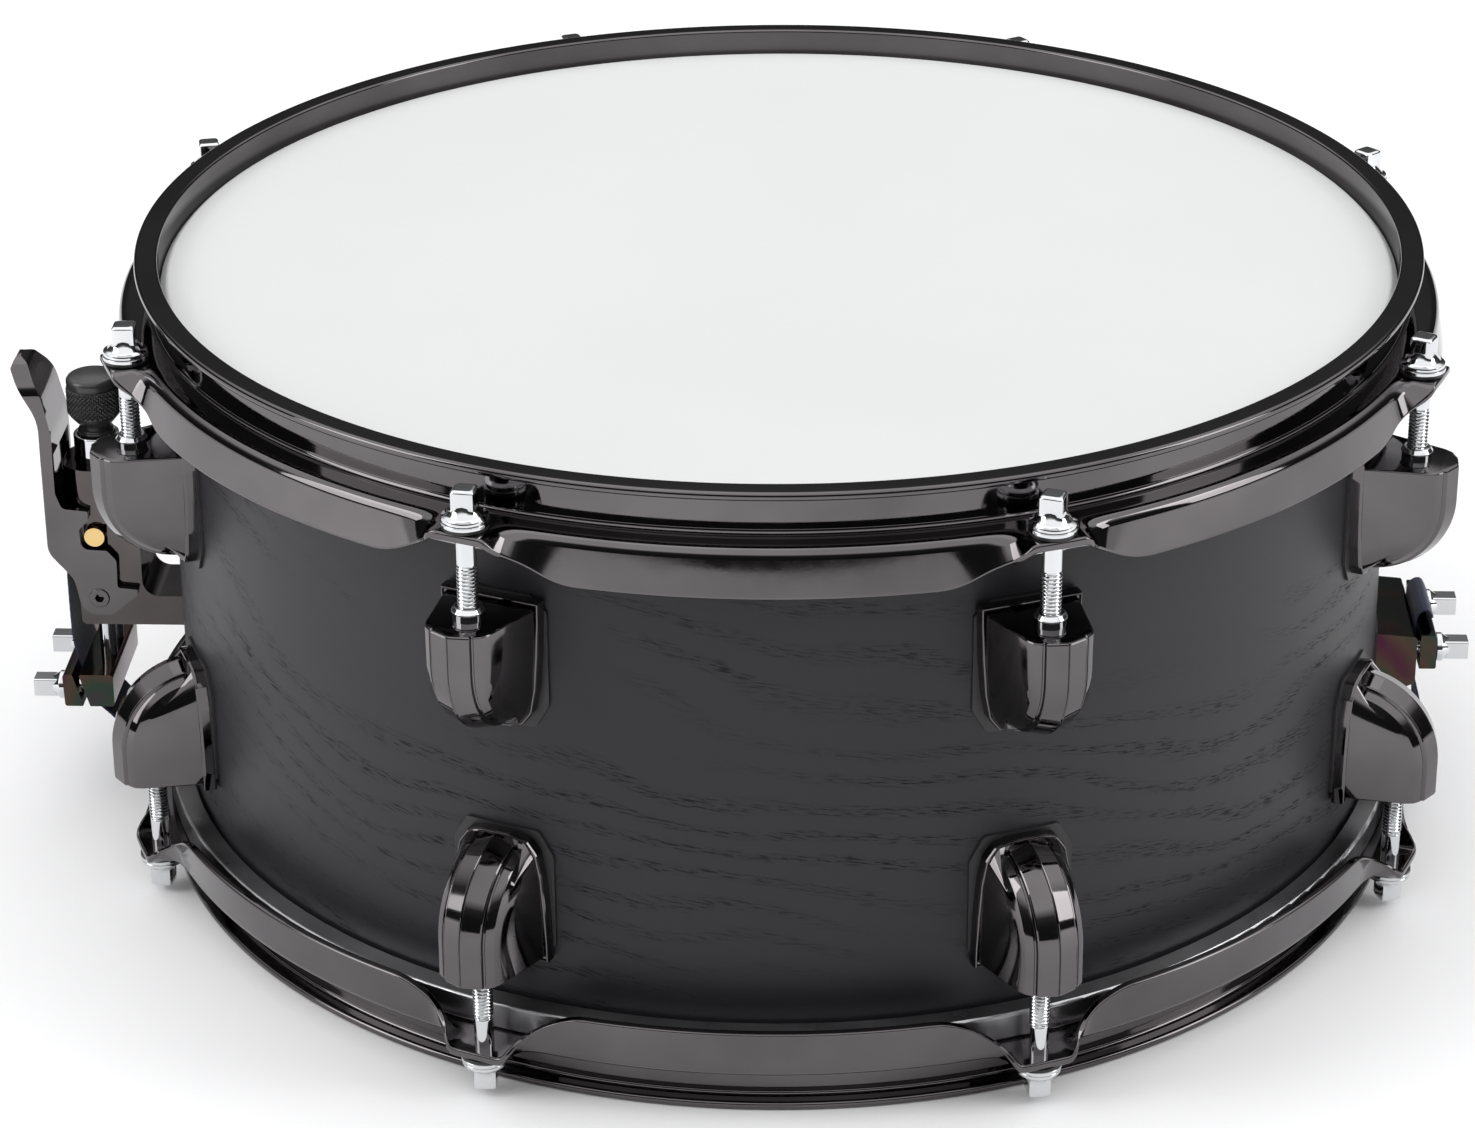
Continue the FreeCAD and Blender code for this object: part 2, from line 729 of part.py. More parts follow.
def make_rods():
    rod = make_rod()
    nodes = []
    ear_face = drum_height - lip_height
    for index in range(int(lug_count)):
        place = round_the_drum(index, ear_face, radius=rod_circle)
        nodes.append(single(f"top_tension_rod_{index + 1}", rod, place))
    for index in range(int(lug_count)):
        place = round_the_drum(index, lip_height, flipped=True, radius=rod_circle)
        nodes.append(single(f"bottom_tension_rod_{index + 1}", rod, place))
    nylon = make_rod_washer("nylon_washer", 0.02, 0.9, 6.2)
    steel = make_rod_washer("steel_washer", 0.92, WASHER_STACK, 6.3)
    places = both_sides(ear_face, radius=rod_circle)
    nodes.append(copies("nylon_washers", nylon, places))
    nodes.append(copies("rod_washers", steel, places))
    return nodes


# ---------------------------------------------------------------- throw-off
BODY_BACK = 190.4
BODY_FRONT = 209.4
BODY_TOP = 104.6
CHANNEL_HALF = 8.3
GUIDE_OFFSET = 5.5
GUIDE_RADIUS = 2.5
SLEEVE_RADIUS = 6.8


def make_strainer_base():
    """Throw-off body: two arms on the shell, a channel for the slider, open outwards."""
    body = new_body("strainer_base")
    side_pad(body, [
        (seat - 1.0, 54.2),
        (BODY_FRONT, 54.2, 1.5),
        (BODY_FRONT, 90.5, 4.0),
        (213.4, 95.0, 2.0),
        (213.4, BODY_TOP, 0.6),
        (BODY_BACK - 2.0, BODY_TOP, 2.0),
        (BODY_BACK - 2.0, 98.0, 1.0),
        (seat - 1.0, 98.0),
        (seat - 1.0, 88.0),
        (BODY_BACK, 88.0, 4.0),
        (BODY_BACK, 63.7, 5.0),
        (seat - 1.0, 63.7),
    ], base_width)
    doc.recompute()
    half = base_width / 2
    nose = new_sketch(body, "XY_Plane", 90.0)
    for side in (1, -1):
        outline(nose, [
            (214.4, side * (half + 1.0)),
            (214.4, side * 1.2),
            (213.4, side * 1.2),
            (213.4, side * half, 9.2),
            (203.6, side * half),
            (203.6, side * (half + 1.0)),
        ])
    doc.recompute()
    pocket(body, nose, BODY_TOP - 89.0, reverse=True)
    channel = new_sketch(body, "XY_Plane", 67.0)
    outline(channel, box_corners(194.4, -CHANNEL_HALF, 220.0, CHANNEL_HALF))
    doc.recompute()
    pocket(body, channel, 30.6, reverse=True)
    pin_height = pivot_height + pin_rise
    side_cut(body, [
        (lever_axis - pin_radius - 0.3, pin_height - slider_drop - pin_radius - 0.4),
        (lever_axis + pin_radius + 0.7, pin_height - slider_drop - pin_radius - 0.4),
        (lever_axis + pin_radius + 0.7, pin_height + pin_radius + 0.4),
        (lever_axis - pin_radius - 0.3, pin_height + pin_radius + 0.4),
    ], base_width + 2.0)
    side = new_sketch(body, "XZ_Plane")
    circle(side, lever_axis, pivot_height, pin_radius - 0.5)
    doc.recompute()
    pocket(body, side, base_width + 2.0, midplane=True)
    upright_bores(body, [(lever_axis, 0.0)], SLEEVE_RADIUS + 0.3, 96.0, 10.0)
    rods = [(lever_axis, GUIDE_OFFSET), (lever_axis, -GUIDE_OFFSET)]
    upright_bores(body, rods, GUIDE_RADIUS + 0.1, 50.0, 20.0)
    curve_back(body, seat, 2 * drum_height)
    radial_bores(body, [(0.0, 59.0), (0.0, 93.0)], screw_shank + 0.15, seat - 5.0, 12.5)
    body.Placement = Placement(Vector(), TURN)
    return body


def lever_outline():
    """The lever in side view; the hook holds the cross pin, the beak points to the shell."""
    def at(out, up, radius=None):
        corner = (lever_axis + out, pivot_height + up)
        if radius is None:
            return corner
        return corner + (radius,)
    return [
        at(22.6, 71.4, 0.8),
        at(21.4, 74.4, 1.4),
        at(17.8, 72.8, 2.5),
        at(13.2, 64.0, 16.0),
        at(10.8, 52.0, 20.0),
        at(10.9, 34.0, 4.0),
        at(9.2, 29.2, 2.0),
        at(1.6, 28.4, 0.6),
        at(1.8, 25.4, 1.0),
        at(4.6, 22.4, 1.2),
        at(4.3, 16.0, 2.6),
        at(-3.2, 15.6, 1.0),
        at(-5.9, 12.4, 2.5),
        at(-5.6, 3.4, 1.0),
        at(-11.6, 2.8, 0.3),
        at(-11.4, 0.9, 0.3),
        at(-3.6, -5.6, 3.0),
        at(5.0, -5.6, 5.0),
        at(7.2, 6.2, 8.0),
        at(14.4, 14.8, 7.0),
        at(14.4, 42.0),
        at(14.6, 57.0, 16.0),
    ]


def make_lever():
    """Throw-off lever: a folded channel whose two cheeks reach down to the pivot."""
    body = new_body("strainer_lever")
    inner_half = base_width / 2 + play
    side_pad(body, lever_outline(), 2 * (inner_half + cheek))
    doc.recompute()
    side_cut(body, [
        (lever_axis - 20.0, pivot_height - 12.0),
        (lever_axis + 12.3, pivot_height - 12.0),
        (lever_axis + 12.3, pivot_height + 46.0, 1.5),
        (lever_axis - 20.0, pivot_height + 46.0),
    ], 2 * inner_half)
    half_width = inner_half + cheek
    tip = pivot_height + 74.4
    tongue = new_sketch(body, "YZ_Plane")
    for side in (1, -1):
        outline(tongue, [
            (side * 1.0, tip + 1.0),
            (side * (half_width + 2.0), tip + 1.0),
            (side * (half_width + 2.0), tip - 30.0),
            (side * half_width, tip - 30.0),
            (side * (half_width - 2.2), tip - 7.5, 8.0),
            (side * (half_width - 8.0), tip - 1.6, 5.0),
            (side * 1.0, tip - 0.1),
        ])
    doc.recompute()
    pocket(body, tongue, 3 * drum_height, midplane=True)
    pivot = new_sketch(body, "XZ_Plane")
    circle(pivot, lever_axis, pivot_height, pin_radius + 0.07)
    doc.recompute()
    pocket(body, pivot, 2 * base_width, midplane=True)
    body.Placement = Placement(Vector(), TURN)
    return body


def make_pivot_screw():
    """Hex socket pivot screw: thin end in the base, journal in the lever's cheek."""
    body = new_body("pivot_screw")
    journal = base_width / 2 + play + cheek
    revolve(body, [
        (0.0, CHANNEL_HALF + 0.3),
        (pin_radius - 0.52, CHANNEL_HALF + 0.3),
        (pin_radius - 0.52, base_width / 2 + 0.02),
        (pin_radius, base_width / 2 + 0.02),
        (pin_radius, journal + 0.35, 0.3),
        (0.0, journal + 0.35),
    ])
    doc.recompute()
    socket = new_sketch(body, "XY_Plane", journal + 0.35 - 1.8)
    hexagon = []
    for corner in range(6):
        angle = math.radians(60 * corner)
        hexagon.append((1.45 * math.cos(angle), 1.45 * math.sin(angle)))
    outline(socket, hexagon)
    doc.recompute()
    pocket(body, socket, 3.0, reverse=True)
    return body


def make_slider():
    """Slider in the throw-off's channel; it carries the cross pin, the sleeve and the knob."""
    body = new_body("strainer_slider")
    side_pad(body, [
        (194.7, 73.0, 1.0),
        (209.2, 73.0, 1.0),
        (209.2, 95.0, 1.0),
        (194.7, 95.0, 1.0),
    ], 2 * (CHANNEL_HALF - 0.3))
    doc.recompute()
    cross = new_sketch(body, "XZ_Plane")
    circle(cross, lever_axis + 0.2, pivot_height + pin_rise, pin_radius + 0.02)
    doc.recompute()
    pocket(body, cross, 2 * base_width, midplane=True)
    rods = [(lever_axis, GUIDE_OFFSET), (lever_axis, -GUIDE_OFFSET)]
    upright_bores(body, rods, GUIDE_RADIUS + 0.1, 70.0, 9.2)
    upright_bores(body, [(lever_axis, 0.0)], 2.6, 89.0, 10.0)
    body.Placement = Placement(Vector(), TURN)
    return body


def make_cross_pin():
    """Brass pin across the slider, held in the hooks of the lever's cheeks."""
    body = new_body("strainer_cross_pin")
    sketch = new_sketch(body, "XZ_Plane")
    circle(sketch, lever_axis + 0.2, pivot_height + pin_rise, pin_radius)
    pad(body, sketch, 2 * (base_width / 2 + play + cheek), midplane=True)
    body.Placement = Placement(Vector(), TURN)
    return body


def make_sleeve():
    """Chrome sleeve on the slider; it slides through the top of the body."""
    body = new_body("strainer_sleeve")
    revolve(body, [
        (2.65, 95.05),
        (SLEEVE_RADIUS, 95.05),
        (SLEEVE_RADIUS, 112.8, 0.5),
        (SLEEVE_RADIUS - 1.3, 112.8, 0.4),
        (SLEEVE_RADIUS - 1.3, 108.0),
        (2.65, 108.0),
    ])
    body.Placement = Placement(Vector(-float(lever_axis), 0, 0), Rotation())
    return body


def make_knob():
    """Knurled knob with its screw stem; flats round the grip stand for the knurl."""
    body = new_body("strainer_knob")
    grip = 7.9
    revolve(body, [
        (0.0, 89.5),
        (2.4, 89.5, 0.4),
        (2.4, 108.3),
        (4.6, 108.3),
        (4.6, 115.6),
        (5.6, 116.6),
        (grip - 0.2, 119.2, 0.6),
        (grip - 0.2, 130.8, 0.9),
        (4.0, 131.9),
        (0.0, 131.9),
    ])
    doc.recompute()
    rib = new_sketch(body, "XY_Plane", 120.2)
    outline(rib, [(grip - 0.6, -0.5), (grip + 0.1, 0.0), (grip - 0.6, 0.5)])
    ribs = pad(body, rib, 9.6)
    doc.recompute()
    pattern(body, [ribs], 36)
    body.Placement = Placement(Vector(-float(lever_axis), 0, 0), Rotation())
    return body


CLAMP_BOTTOM = 31.0
CLAMP_TOP = 41.5
SLOT_LOW = 208.0
SLOT_HIGH = 210.9
SCREW_SPREAD = 14.5
CLAMP_SCREW_HEIGHT = 35.6


def make_clamp_block():
    """Ribbon clamp block of the throw-off, hung from the guide rods."""
    body = new_body("strainer_clamp_block")
    gap = ribbon_thick / 2 + 0.5
    side_pad(body, [
        (199.6, CLAMP_BOTTOM, 1.0),
        (SLOT_LOW - gap, CLAMP_BOTTOM, 0.4),
        (SLOT_HIGH - gap, CLAMP_TOP, 0.4),
        (199.6, CLAMP_TOP, 1.0),
    ], clamp_width)
    doc.recompute()
    rods = [(lever_axis, GUIDE_OFFSET), (lever_axis, -GUIDE_OFFSET)]
    upright_bores(body, rods, GUIDE_RADIUS + 0.02, 33.0, 12.0)
    holes = [(SCREW_SPREAD, CLAMP_SCREW_HEIGHT), (-SCREW_SPREAD, CLAMP_SCREW_HEIGHT)]
    radial_bores(body, holes, screw_shank + 0.05, 200.5, 20.0)
    body.Placement = Placement(Vector(), TURN)
    return body


def make_clamp_plate():
    """Plate that presses the ribbon on the clamp block."""
    body = new_body("strainer_clamp_plate")
    gap = ribbon_thick / 2 + 0.5
    side_pad(body, [
        (SLOT_LOW + gap, CLAMP_BOTTOM, 0.4),
        (214.6, CLAMP_BOTTOM, 0.8),
        (214.9, CLAMP_TOP, 0.8),
        (SLOT_HIGH + gap, CLAMP_TOP, 0.4),
    ], clamp_width)
    doc.recompute()
    holes = [(SCREW_SPREAD, CLAMP_SCREW_HEIGHT), (-SCREW_SPREAD, CLAMP_SCREW_HEIGHT)]
    radial_bores(body, holes, screw_shank + 0.15, 200.5, 20.0)
    body.Placement = Placement(Vector(), TURN)
    return body


def make_key_screw():
    """Square-head clamp screw along +X, with x = 0 at the face it presses on."""
    body = new_body("key_screw")
    revolve(body, [
        (0.0, -12.5),
        (screw_shank, -12.5, 0.3),
        (screw_shank, 0.05),
        (4.3, 0.05, 0.2),
        (4.3, 1.6, 0.4),
        (3.2, 3.2, 0.6),
        (2.6, 4.2),
        (0.0, 4.2),
    ])
    doc.recompute()
    square = new_sketch(body, "XY_Plane", 2.4)
    outline(square, [(-2.8, -2.8, 0.5), (2.8, -2.8, 0.5), (2.8, 2.8, 0.5), (-2.8, 2.8, 0.5)])
    pad(body, square, 7.0)
    return body


def make_guide_rod():
    """Chrome rod between the clamp block and the slider, bound to its two ends' heights."""
    rod = doc.addObject("Part::Cylinder", "guide_rod")
    rod.Radius = GUIDE_RADIUS
    rod.Height = 44.0
    return rod


def make_strainer():
    base = make_strainer_base()
    lever = make_lever()
    slider = make_slider()
    pin = make_cross_pin()
    sleeve = make_sleeve()
    knob = make_knob()
    block = make_clamp_block()
    plate = make_clamp_plate()
    pivot = make_pivot_screw()
    key_screw = make_key_screw()
    guide = make_guide_rod()
    axis_x = -float(lever_axis)
    aside = [Rotation(Vector(0, 0, 1), Vector(0, -1, 0)), Rotation(Vector(0, 0, 1), Vector(0, 1, 0))]
    pivots = [Placement(Vector(axis_x, 0, float(pivot_height)), turn) for turn in aside]
    outward = Rotation(Vector(0, 0, 1), Vector(-1, 0, 0))
    screws = [Placement(Vector(-214.8, y, CLAMP_SCREW_HEIGHT), outward) for y in (-SCREW_SPREAD, SCREW_SPREAD)]
    guides = [Placement(Vector(axis_x, y, 33.2), Rotation()) for y in (-GUIDE_OFFSET, GUIDE_OFFSET)]
    return [
        base, lever, slider, pin, sleeve, knob, block, plate,
        copies("strainer_pivot_screws", pivot, pivots),
        copies("strainer_clamp_screws", key_screw, screws),
        copies("strainer_guide_rods", guide, guides),
    ] + make_butt(key_screw)


# ---------------------------------------------------------------- butt end
BUTT_FACE = 189.1
BUTT_SCREW_HEIGHT = 53.4


def make_butt(key_screw):
    """Butt end: block on the shell, and the plate that clamps the ribbon on its face."""
    block = new_body("butt_block")
    side_pad(block, [
        (seat - 3.0, 44.6),
        (184.5, 41.6, 1.5),
        (BUTT_FACE, 44.0, 1.5),
        (BUTT_FACE, 59.0, 1.2),
        (seat - 3.0, 60.2),
    ], clamp_width)
    doc.recompute()
    curve_back(block, seat, 2 * drum_height)
    holes = [(SCREW_SPREAD, BUTT_SCREW_HEIGHT), (-SCREW_SPREAD, BUTT_SCREW_HEIGHT)]
    radial_bores(block, holes, screw_shank + 0.05, 181.0, 20.0)
    radial_bores(block, [(0.0, 47.0), (0.0, 56.0)], screw_shank + 0.15, seat - 5.0, 12.2)
    plate = new_body("butt_clamp_plate")
    side_pad(plate, [
        (BUTT_FACE + ribbon_thick + 0.1, 48.1, 0.4),
        (195.2, 48.1, 0.8),
        (195.0, 59.0, 0.8),
        (BUTT_FACE + ribbon_thick + 0.1, 59.0, 0.4),
    ], clamp_width - 2.0)
    doc.recompute()
    radial_bores(plate, holes, screw_shank + 0.15, 181.0, 20.0)
    outward = Rotation(Vector(0, 0, 1), Vector(1, 0, 0))
    screws = [Placement(Vector(195.2, y, BUTT_SCREW_HEIGHT), outward) for y in (-SCREW_SPREAD, SCREW_SPREAD)]
    return [block, plate, copies("butt_clamp_screws", key_screw, screws)]


def make_bracket_gasket(label, low, high, width, turned):
    """Gasket between a bracket and the shell."""
    body = new_body(label)
    sketch = new_sketch(body, "YZ_Plane", seat - 6.0)
    outline(sketch, box_corners(-width / 2, low, width / 2, high))
    pad(body, sketch, 10.0)
    doc.recompute()
    curve_back(body, shell_radius, 2 * drum_height)
    trim = new_sketch(body, "XY_Plane")
    circle(trim, 0.0, 0.0, seat)
    circle(trim, 0.0, 0.0, seat + 20.0)
    doc.recompute()
    pocket(body, trim, 2 * drum_height, midplane=True)
    heights = BRACKET_SCREWS[:2] if turned else BRACKET_SCREWS[2:]
    radial_bores(body, [(0.0, height) for height in heights], screw_shank + 0.3, seat - 8.0, 12.0)
    if turned:
        body.Placement = Placement(Vector(), TURN)
    return body


# ---------------------------------------------------------------- snares
END_PLATE_LENGTH = 14.0
END_PLATE_THICKNESS = 1.2


def make_wires():
    """Snare strands as plain round rods, side by side under the snare-side head."""
    body = new_body("snare_wires")
    sketch = new_sketch(body, "YZ_Plane")
    count = int(wire_count)
    height = shell_base - film - 0.25 - wire_radius
    for strand in range(count):
        circle(sketch, (strand - (count - 1) / 2.0) * wire_spacing, height, wire_radius)
    pad(body, sketch, 2 * wire_reach, midplane=True)
    return body


def make_end_plate():
    """Plate that the strands are soldered to, in its place at +X."""
    plate = doc.addObject("Part::Box", "end_plate")
    plate.setExpression("Width", (wire_count * wire_spacing).formula)
    plate.Length = END_PLATE_LENGTH
    plate.Height = END_PLATE_THICKNESS
    return plate


def ribbon(label, centre_line):
    """A ribbon of even thickness along a centre line in side view, from clamp to end plate."""
    half = float(ribbon_thick) / 2
    left = []
    right = []
    count = len(centre_line)
    for i in range(count):
        before = Vector(*centre_line[max(i - 1, 0)], 0)
        here = Vector(*centre_line[i], 0)
        after = Vector(*centre_line[min(i + 1, count - 1)], 0)
        run_in = (here - before) if i > 0 else (after - here)
        run_out = (after - here) if i < count - 1 else (here - before)
        bisector = (run_in.normalize() + run_out.normalize()).normalize()
        reach = half / max(bisector.dot(run_out), 0.5)
        side = Vector(-bisector.y, bisector.x, 0) * reach
        left.append(here + side)
        right.append(here - side)
    loop = left + right[::-1]
    flat = [Vector(point.x, -float(ribbon_width) / 2, point.y) for point in loop]
    face = Part.Face(Part.makePolygon(flat + flat[:1]))
    strip = doc.addObject("Part::Feature", label)
    strip.Label = label
    strip.Shape = face.extrude(Vector(0, float(ribbon_width), 0))
    return strip


def make_ribbons():
    """Ribbons from the end plates, under the hoop's gates and up to both clamps."""
    level = float(shell_base - film - 0.25) - 2 * float(wire_radius) - 0.05
    gate = [(float(wire_reach) + 1.0, level), (180.0, level + 0.3), (186.0, 8.2)]
    slope = (SLOT_HIGH - SLOT_LOW) / (CLAMP_TOP - CLAMP_BOTTOM)
    strainer = ribbon("strainer_ribbon", gate + [
        (191.6, 10.6),
        (195.6, 14.6),
        (SLOT_LOW - 2.4 * slope, CLAMP_BOTTOM - 2.4),
        (SLOT_HIGH + 1.6 * slope, CLAMP_TOP + 1.6),
        (212.6, 50.0),
        (212.6, 71.0),
    ])
    strainer.Placement = Placement(Vector(), TURN)
    middle = BUTT_FACE + 0.05 + float(ribbon_thick) / 2
    butt = ribbon("butt_ribbon", gate + [
        (191.4, 11.0),
        (193.0, 14.4),
        (193.2, 29.0),
        (middle, 44.0),
        (middle, 61.0),
        (middle + 1.6, 63.4),
        (middle + 3.6, 63.4),
        (middle + 4.8, 61.0),
    ])
    return [strainer, butt]


def make_snares():
    wires = make_wires()
    plate = make_end_plate()
    low = float(shell_base - film - 0.2)
    across = float(wire_count * wire_spacing) / 2
    reach = float(wire_reach)
    bottom = low - END_PLATE_THICKNESS
    places = [
        Placement(Vector(reach + 0.05, -across, bottom), Rotation()),
        Placement(Vector(-reach - 0.05 - END_PLATE_LENGTH, -across, bottom), Rotation()),
    ]
    return [wires, copies("snare_end_plates", plate, places)]


# ---------------------------------------------------------------- assembly and export
def make_lugs():
    lug = make_lug()
    gasket_piece = make_lug_gasket()
    insert = make_insert()
    screw = make_mounting_screw()
    washer = make_screw_washer()
    count = int(lug_count)
    above = [round_the_drum(index) for index in range(count)]
    below = [round_the_drum(index, drum_height, flipped=True) for index in range(count)]
    inserts = both_sides(lug_top, radius=rod_circle)
    brackets = bracket_screw_places()
    return [
        copies("top_lugs", lug, above),
        copies("bottom_lugs", lug, below),
        copies("lug_gaskets", gasket_piece, above + below),
        copies("lug_inserts", insert, inserts),
        copies("lug_screws", screw, screw_places()),
        copies("lug_screw_washers", washer, screw_places() + brackets),
        copies("bracket_screws", screw, brackets),
    ]


def bracket_screw_places():
    """Screws of the throw-off at -X and of the butt end at +X."""
    inner_radius = float(shell_radius - shell_wall)
    places = []
    for height in BRACKET_SCREWS[:2]:
        places.append(Placement(Vector(-inner_radius, 0, height), Rotation(Vector(0, 0, 1), Vector(-1, 0, 0))))
    for height in BRACKET_SCREWS[2:]:
        places.append(Placement(Vector(inner_radius, 0, height), Rotation(Vector(0, 0, 1), Vector(1, 0, 0))))
    return places


def build():
    nodes = [make_shell()]
    nodes += make_vent()
    nodes += make_hoops()
    nodes += make_head("batter_head", flipped=False)
    nodes += make_head("snare_head", flipped=True)
    nodes += make_lugs()
    nodes += make_rods()
    nodes += make_strainer()
    nodes.append(make_bracket_gasket("strainer_gasket", 53.4, 99.0, base_width + 1.0, turned=True))
    nodes.append(make_bracket_gasket("butt_gasket", 43.0, 60.8, clamp_width + 1.0, turned=False))
    nodes += make_snares()
    nodes += make_ribbons()
    return nodes


def check_and_export(nodes):
    """Stop on any failed object or unsound solid, then write one STEP file per node."""
    doc.recompute()
    for item in doc.Objects:
        if "Invalid" in item.State or "Error" in item.State:
            raise ValueError(f"{item.Name} failed: {item.State}")
    shapes = {}
    for node in nodes:
        shape = Part.getShape(node)
        if shape.isNull() or not shape.isValid() or not shape.Solids:
            raise ValueError(f"{node.Label} is not a sound solid")
        shapes[node.Label] = shape
    os.makedirs("parts", exist_ok=True)
    for label, shape in shapes.items():
        shape.exportStep(f"parts/{label}.step")
    print(len(shapes), "nodes written")


check_and_export(build())
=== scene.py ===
import json
import math

import bmesh
import bpy
from mathutils import Matrix, Vector

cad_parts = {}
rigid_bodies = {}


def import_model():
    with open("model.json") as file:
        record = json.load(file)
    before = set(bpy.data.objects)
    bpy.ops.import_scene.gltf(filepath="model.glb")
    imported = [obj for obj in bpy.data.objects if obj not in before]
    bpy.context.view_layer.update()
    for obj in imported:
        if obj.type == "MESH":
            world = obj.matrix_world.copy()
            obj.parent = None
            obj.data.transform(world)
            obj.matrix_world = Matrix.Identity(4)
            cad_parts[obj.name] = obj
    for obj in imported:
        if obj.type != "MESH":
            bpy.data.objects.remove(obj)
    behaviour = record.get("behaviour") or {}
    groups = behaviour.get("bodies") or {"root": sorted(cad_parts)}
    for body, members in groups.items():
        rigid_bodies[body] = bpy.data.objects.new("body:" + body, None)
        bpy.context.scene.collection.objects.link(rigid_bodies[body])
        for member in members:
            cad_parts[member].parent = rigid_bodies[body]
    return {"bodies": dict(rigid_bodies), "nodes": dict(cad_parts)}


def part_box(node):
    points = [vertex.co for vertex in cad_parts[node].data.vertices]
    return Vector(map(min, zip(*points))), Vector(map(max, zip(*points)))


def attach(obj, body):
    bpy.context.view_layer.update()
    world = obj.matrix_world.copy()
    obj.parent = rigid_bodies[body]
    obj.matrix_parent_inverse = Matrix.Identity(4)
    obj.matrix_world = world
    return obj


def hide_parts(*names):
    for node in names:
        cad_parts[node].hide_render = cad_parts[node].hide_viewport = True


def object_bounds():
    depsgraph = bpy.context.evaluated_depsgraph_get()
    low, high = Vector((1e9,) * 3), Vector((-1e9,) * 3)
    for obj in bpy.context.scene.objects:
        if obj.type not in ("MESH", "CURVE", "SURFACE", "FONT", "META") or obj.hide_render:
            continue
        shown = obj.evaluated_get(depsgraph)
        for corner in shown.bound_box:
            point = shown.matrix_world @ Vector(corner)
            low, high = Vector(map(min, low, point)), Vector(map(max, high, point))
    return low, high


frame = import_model()
cad_low, cad_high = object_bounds()

MM = 0.001
TAU = 2 * math.pi

# Main sizes of the drum, in millimetres.
DRUM_HEIGHT = round(cad_high.z / MM, 2)
SHELL_RADIUS = 177.5
STEEL = 2.3
HOOP_BORE = 178.0
LIP_RADIUS = 184.65
LIP_HEIGHT = 13.0
SHOULDER_RADIUS = 189.3
SKIRT_RADIUS = 191.5
EAR_REACH = 198.0
ROD_CIRCLE = 192.0
LUGS = 8
LUG_STEP = 45.0  # degrees from lug to lug; the first stands half a step from +X
GATE_HALF = 32.0
PIVOT_X = -203.1


# ---------------------------------------------------------------- node materials
def new_skin(name, colour, **numbers):
    """A Principled material; numbers are its plain sockets, with _ for a space."""
    skin = bpy.data.materials.new(name)
    skin.use_nodes = True
    shader = skin.node_tree.nodes["Principled BSDF"]
    shader.inputs["Base Color"].default_value = (*colour, 1.0)
    for socket, value in numbers.items():
        shader.inputs[socket.replace("_", " ")].default_value = value
    return skin


def shader_of(skin):
    return skin.node_tree.nodes["Principled BSDF"]


def local_coords(skin, stretch=(1.0, 1.0, 1.0), turn=(0.0, 0.0, 0.0)):
    """The piece's own coordinates in metres, stretched and turned."""
    nodes, links = skin.node_tree.nodes, skin.node_tree.links
    place = nodes.new("ShaderNodeTexCoord")
    mapping = nodes.new("ShaderNodeMapping")
    mapping.inputs["Scale"].default_value = stretch
    mapping.inputs["Rotation"].default_value = turn
    links.new(place.outputs["Object"], mapping.inputs["Vector"])
    return mapping.outputs["Vector"]


def math_node(skin, kind, first, second):
    """A Math node on sockets or plain numbers."""
    nodes, links = skin.node_tree.nodes, skin.node_tree.links
    node = nodes.new("ShaderNodeMath")
    node.operation = kind
    for slot, value in enumerate((first, second)):
        if isinstance(value, (int, float)):
            node.inputs[slot].default_value = value
        else:
            links.new(value, node.inputs[slot])
    return node.outputs[0]


def noise(skin, vector, scale, detail=4.0, roughness=0.55, distortion=0.0):
    nodes, links = skin.node_tree.nodes, skin.node_tree.links
    node = nodes.new("ShaderNodeTexNoise")
    node.inputs["Scale"].default_value = scale
    node.inputs["Detail"].default_value = detail
    node.inputs["Roughness"].default_value = roughness
    node.inputs["Distortion"].default_value = distortion
    links.new(vector, node.inputs["Vector"])
    return node.outputs[0]


def ramp(skin, factor, stops):
    """A colour or grey ramp; stops are (position, value or colour)."""
    nodes, links = skin.node_tree.nodes, skin.node_tree.links
    node = nodes.new("ShaderNodeValToRGB")
    elements = node.color_ramp.elements
    while len(elements) < len(stops):
        elements.new(0.5)
    for element, (position, value) in zip(elements, stops):
        element.position = position
        colour = (value,) * 3 if isinstance(value, (int, float)) else value
        element.color = (*colour, 1.0)
    links.new(factor, node.inputs["Fac"])
    return node.outputs["Color"]


def drive(skin, socket, source):
    skin.node_tree.links.new(source, shader_of(skin).inputs[socket])


def bump(skin, height, strength, distance):
    nodes, links = skin.node_tree.nodes, skin.node_tree.links
    node = nodes.new("ShaderNodeBump")
    node.inputs["Strength"].default_value = strength
    node.inputs["Distance"].default_value = distance
    links.new(height, node.inputs["Height"])
    drive(skin, "Normal", node.outputs["Normal"])


def plated(name, dark, light, rough_low, rough_high, streak=(1.0, 1.0, 1.0)):
    """Plated or polished metal: drifting tone, smudged gloss and a faint polishing grain."""
    skin = new_skin(name, light, Metallic=1.0)
    place = local_coords(skin)
    tone = noise(skin, place, 22.0, 3.0)
    drive(skin, "Base Color", ramp(skin, tone, [(0.32, dark), (0.68, light)]))
    smudge = noise(skin, place, 60.0, 5.0, 0.62)
    drive(skin, "Roughness", ramp(skin, smudge, [(0.3, rough_low), (0.75, rough_high)]))
    grain = noise(skin, local_coords(skin, streak), 900.0, 2.0)
    bump(skin, grain, 0.06, 0.00002)
    return skin


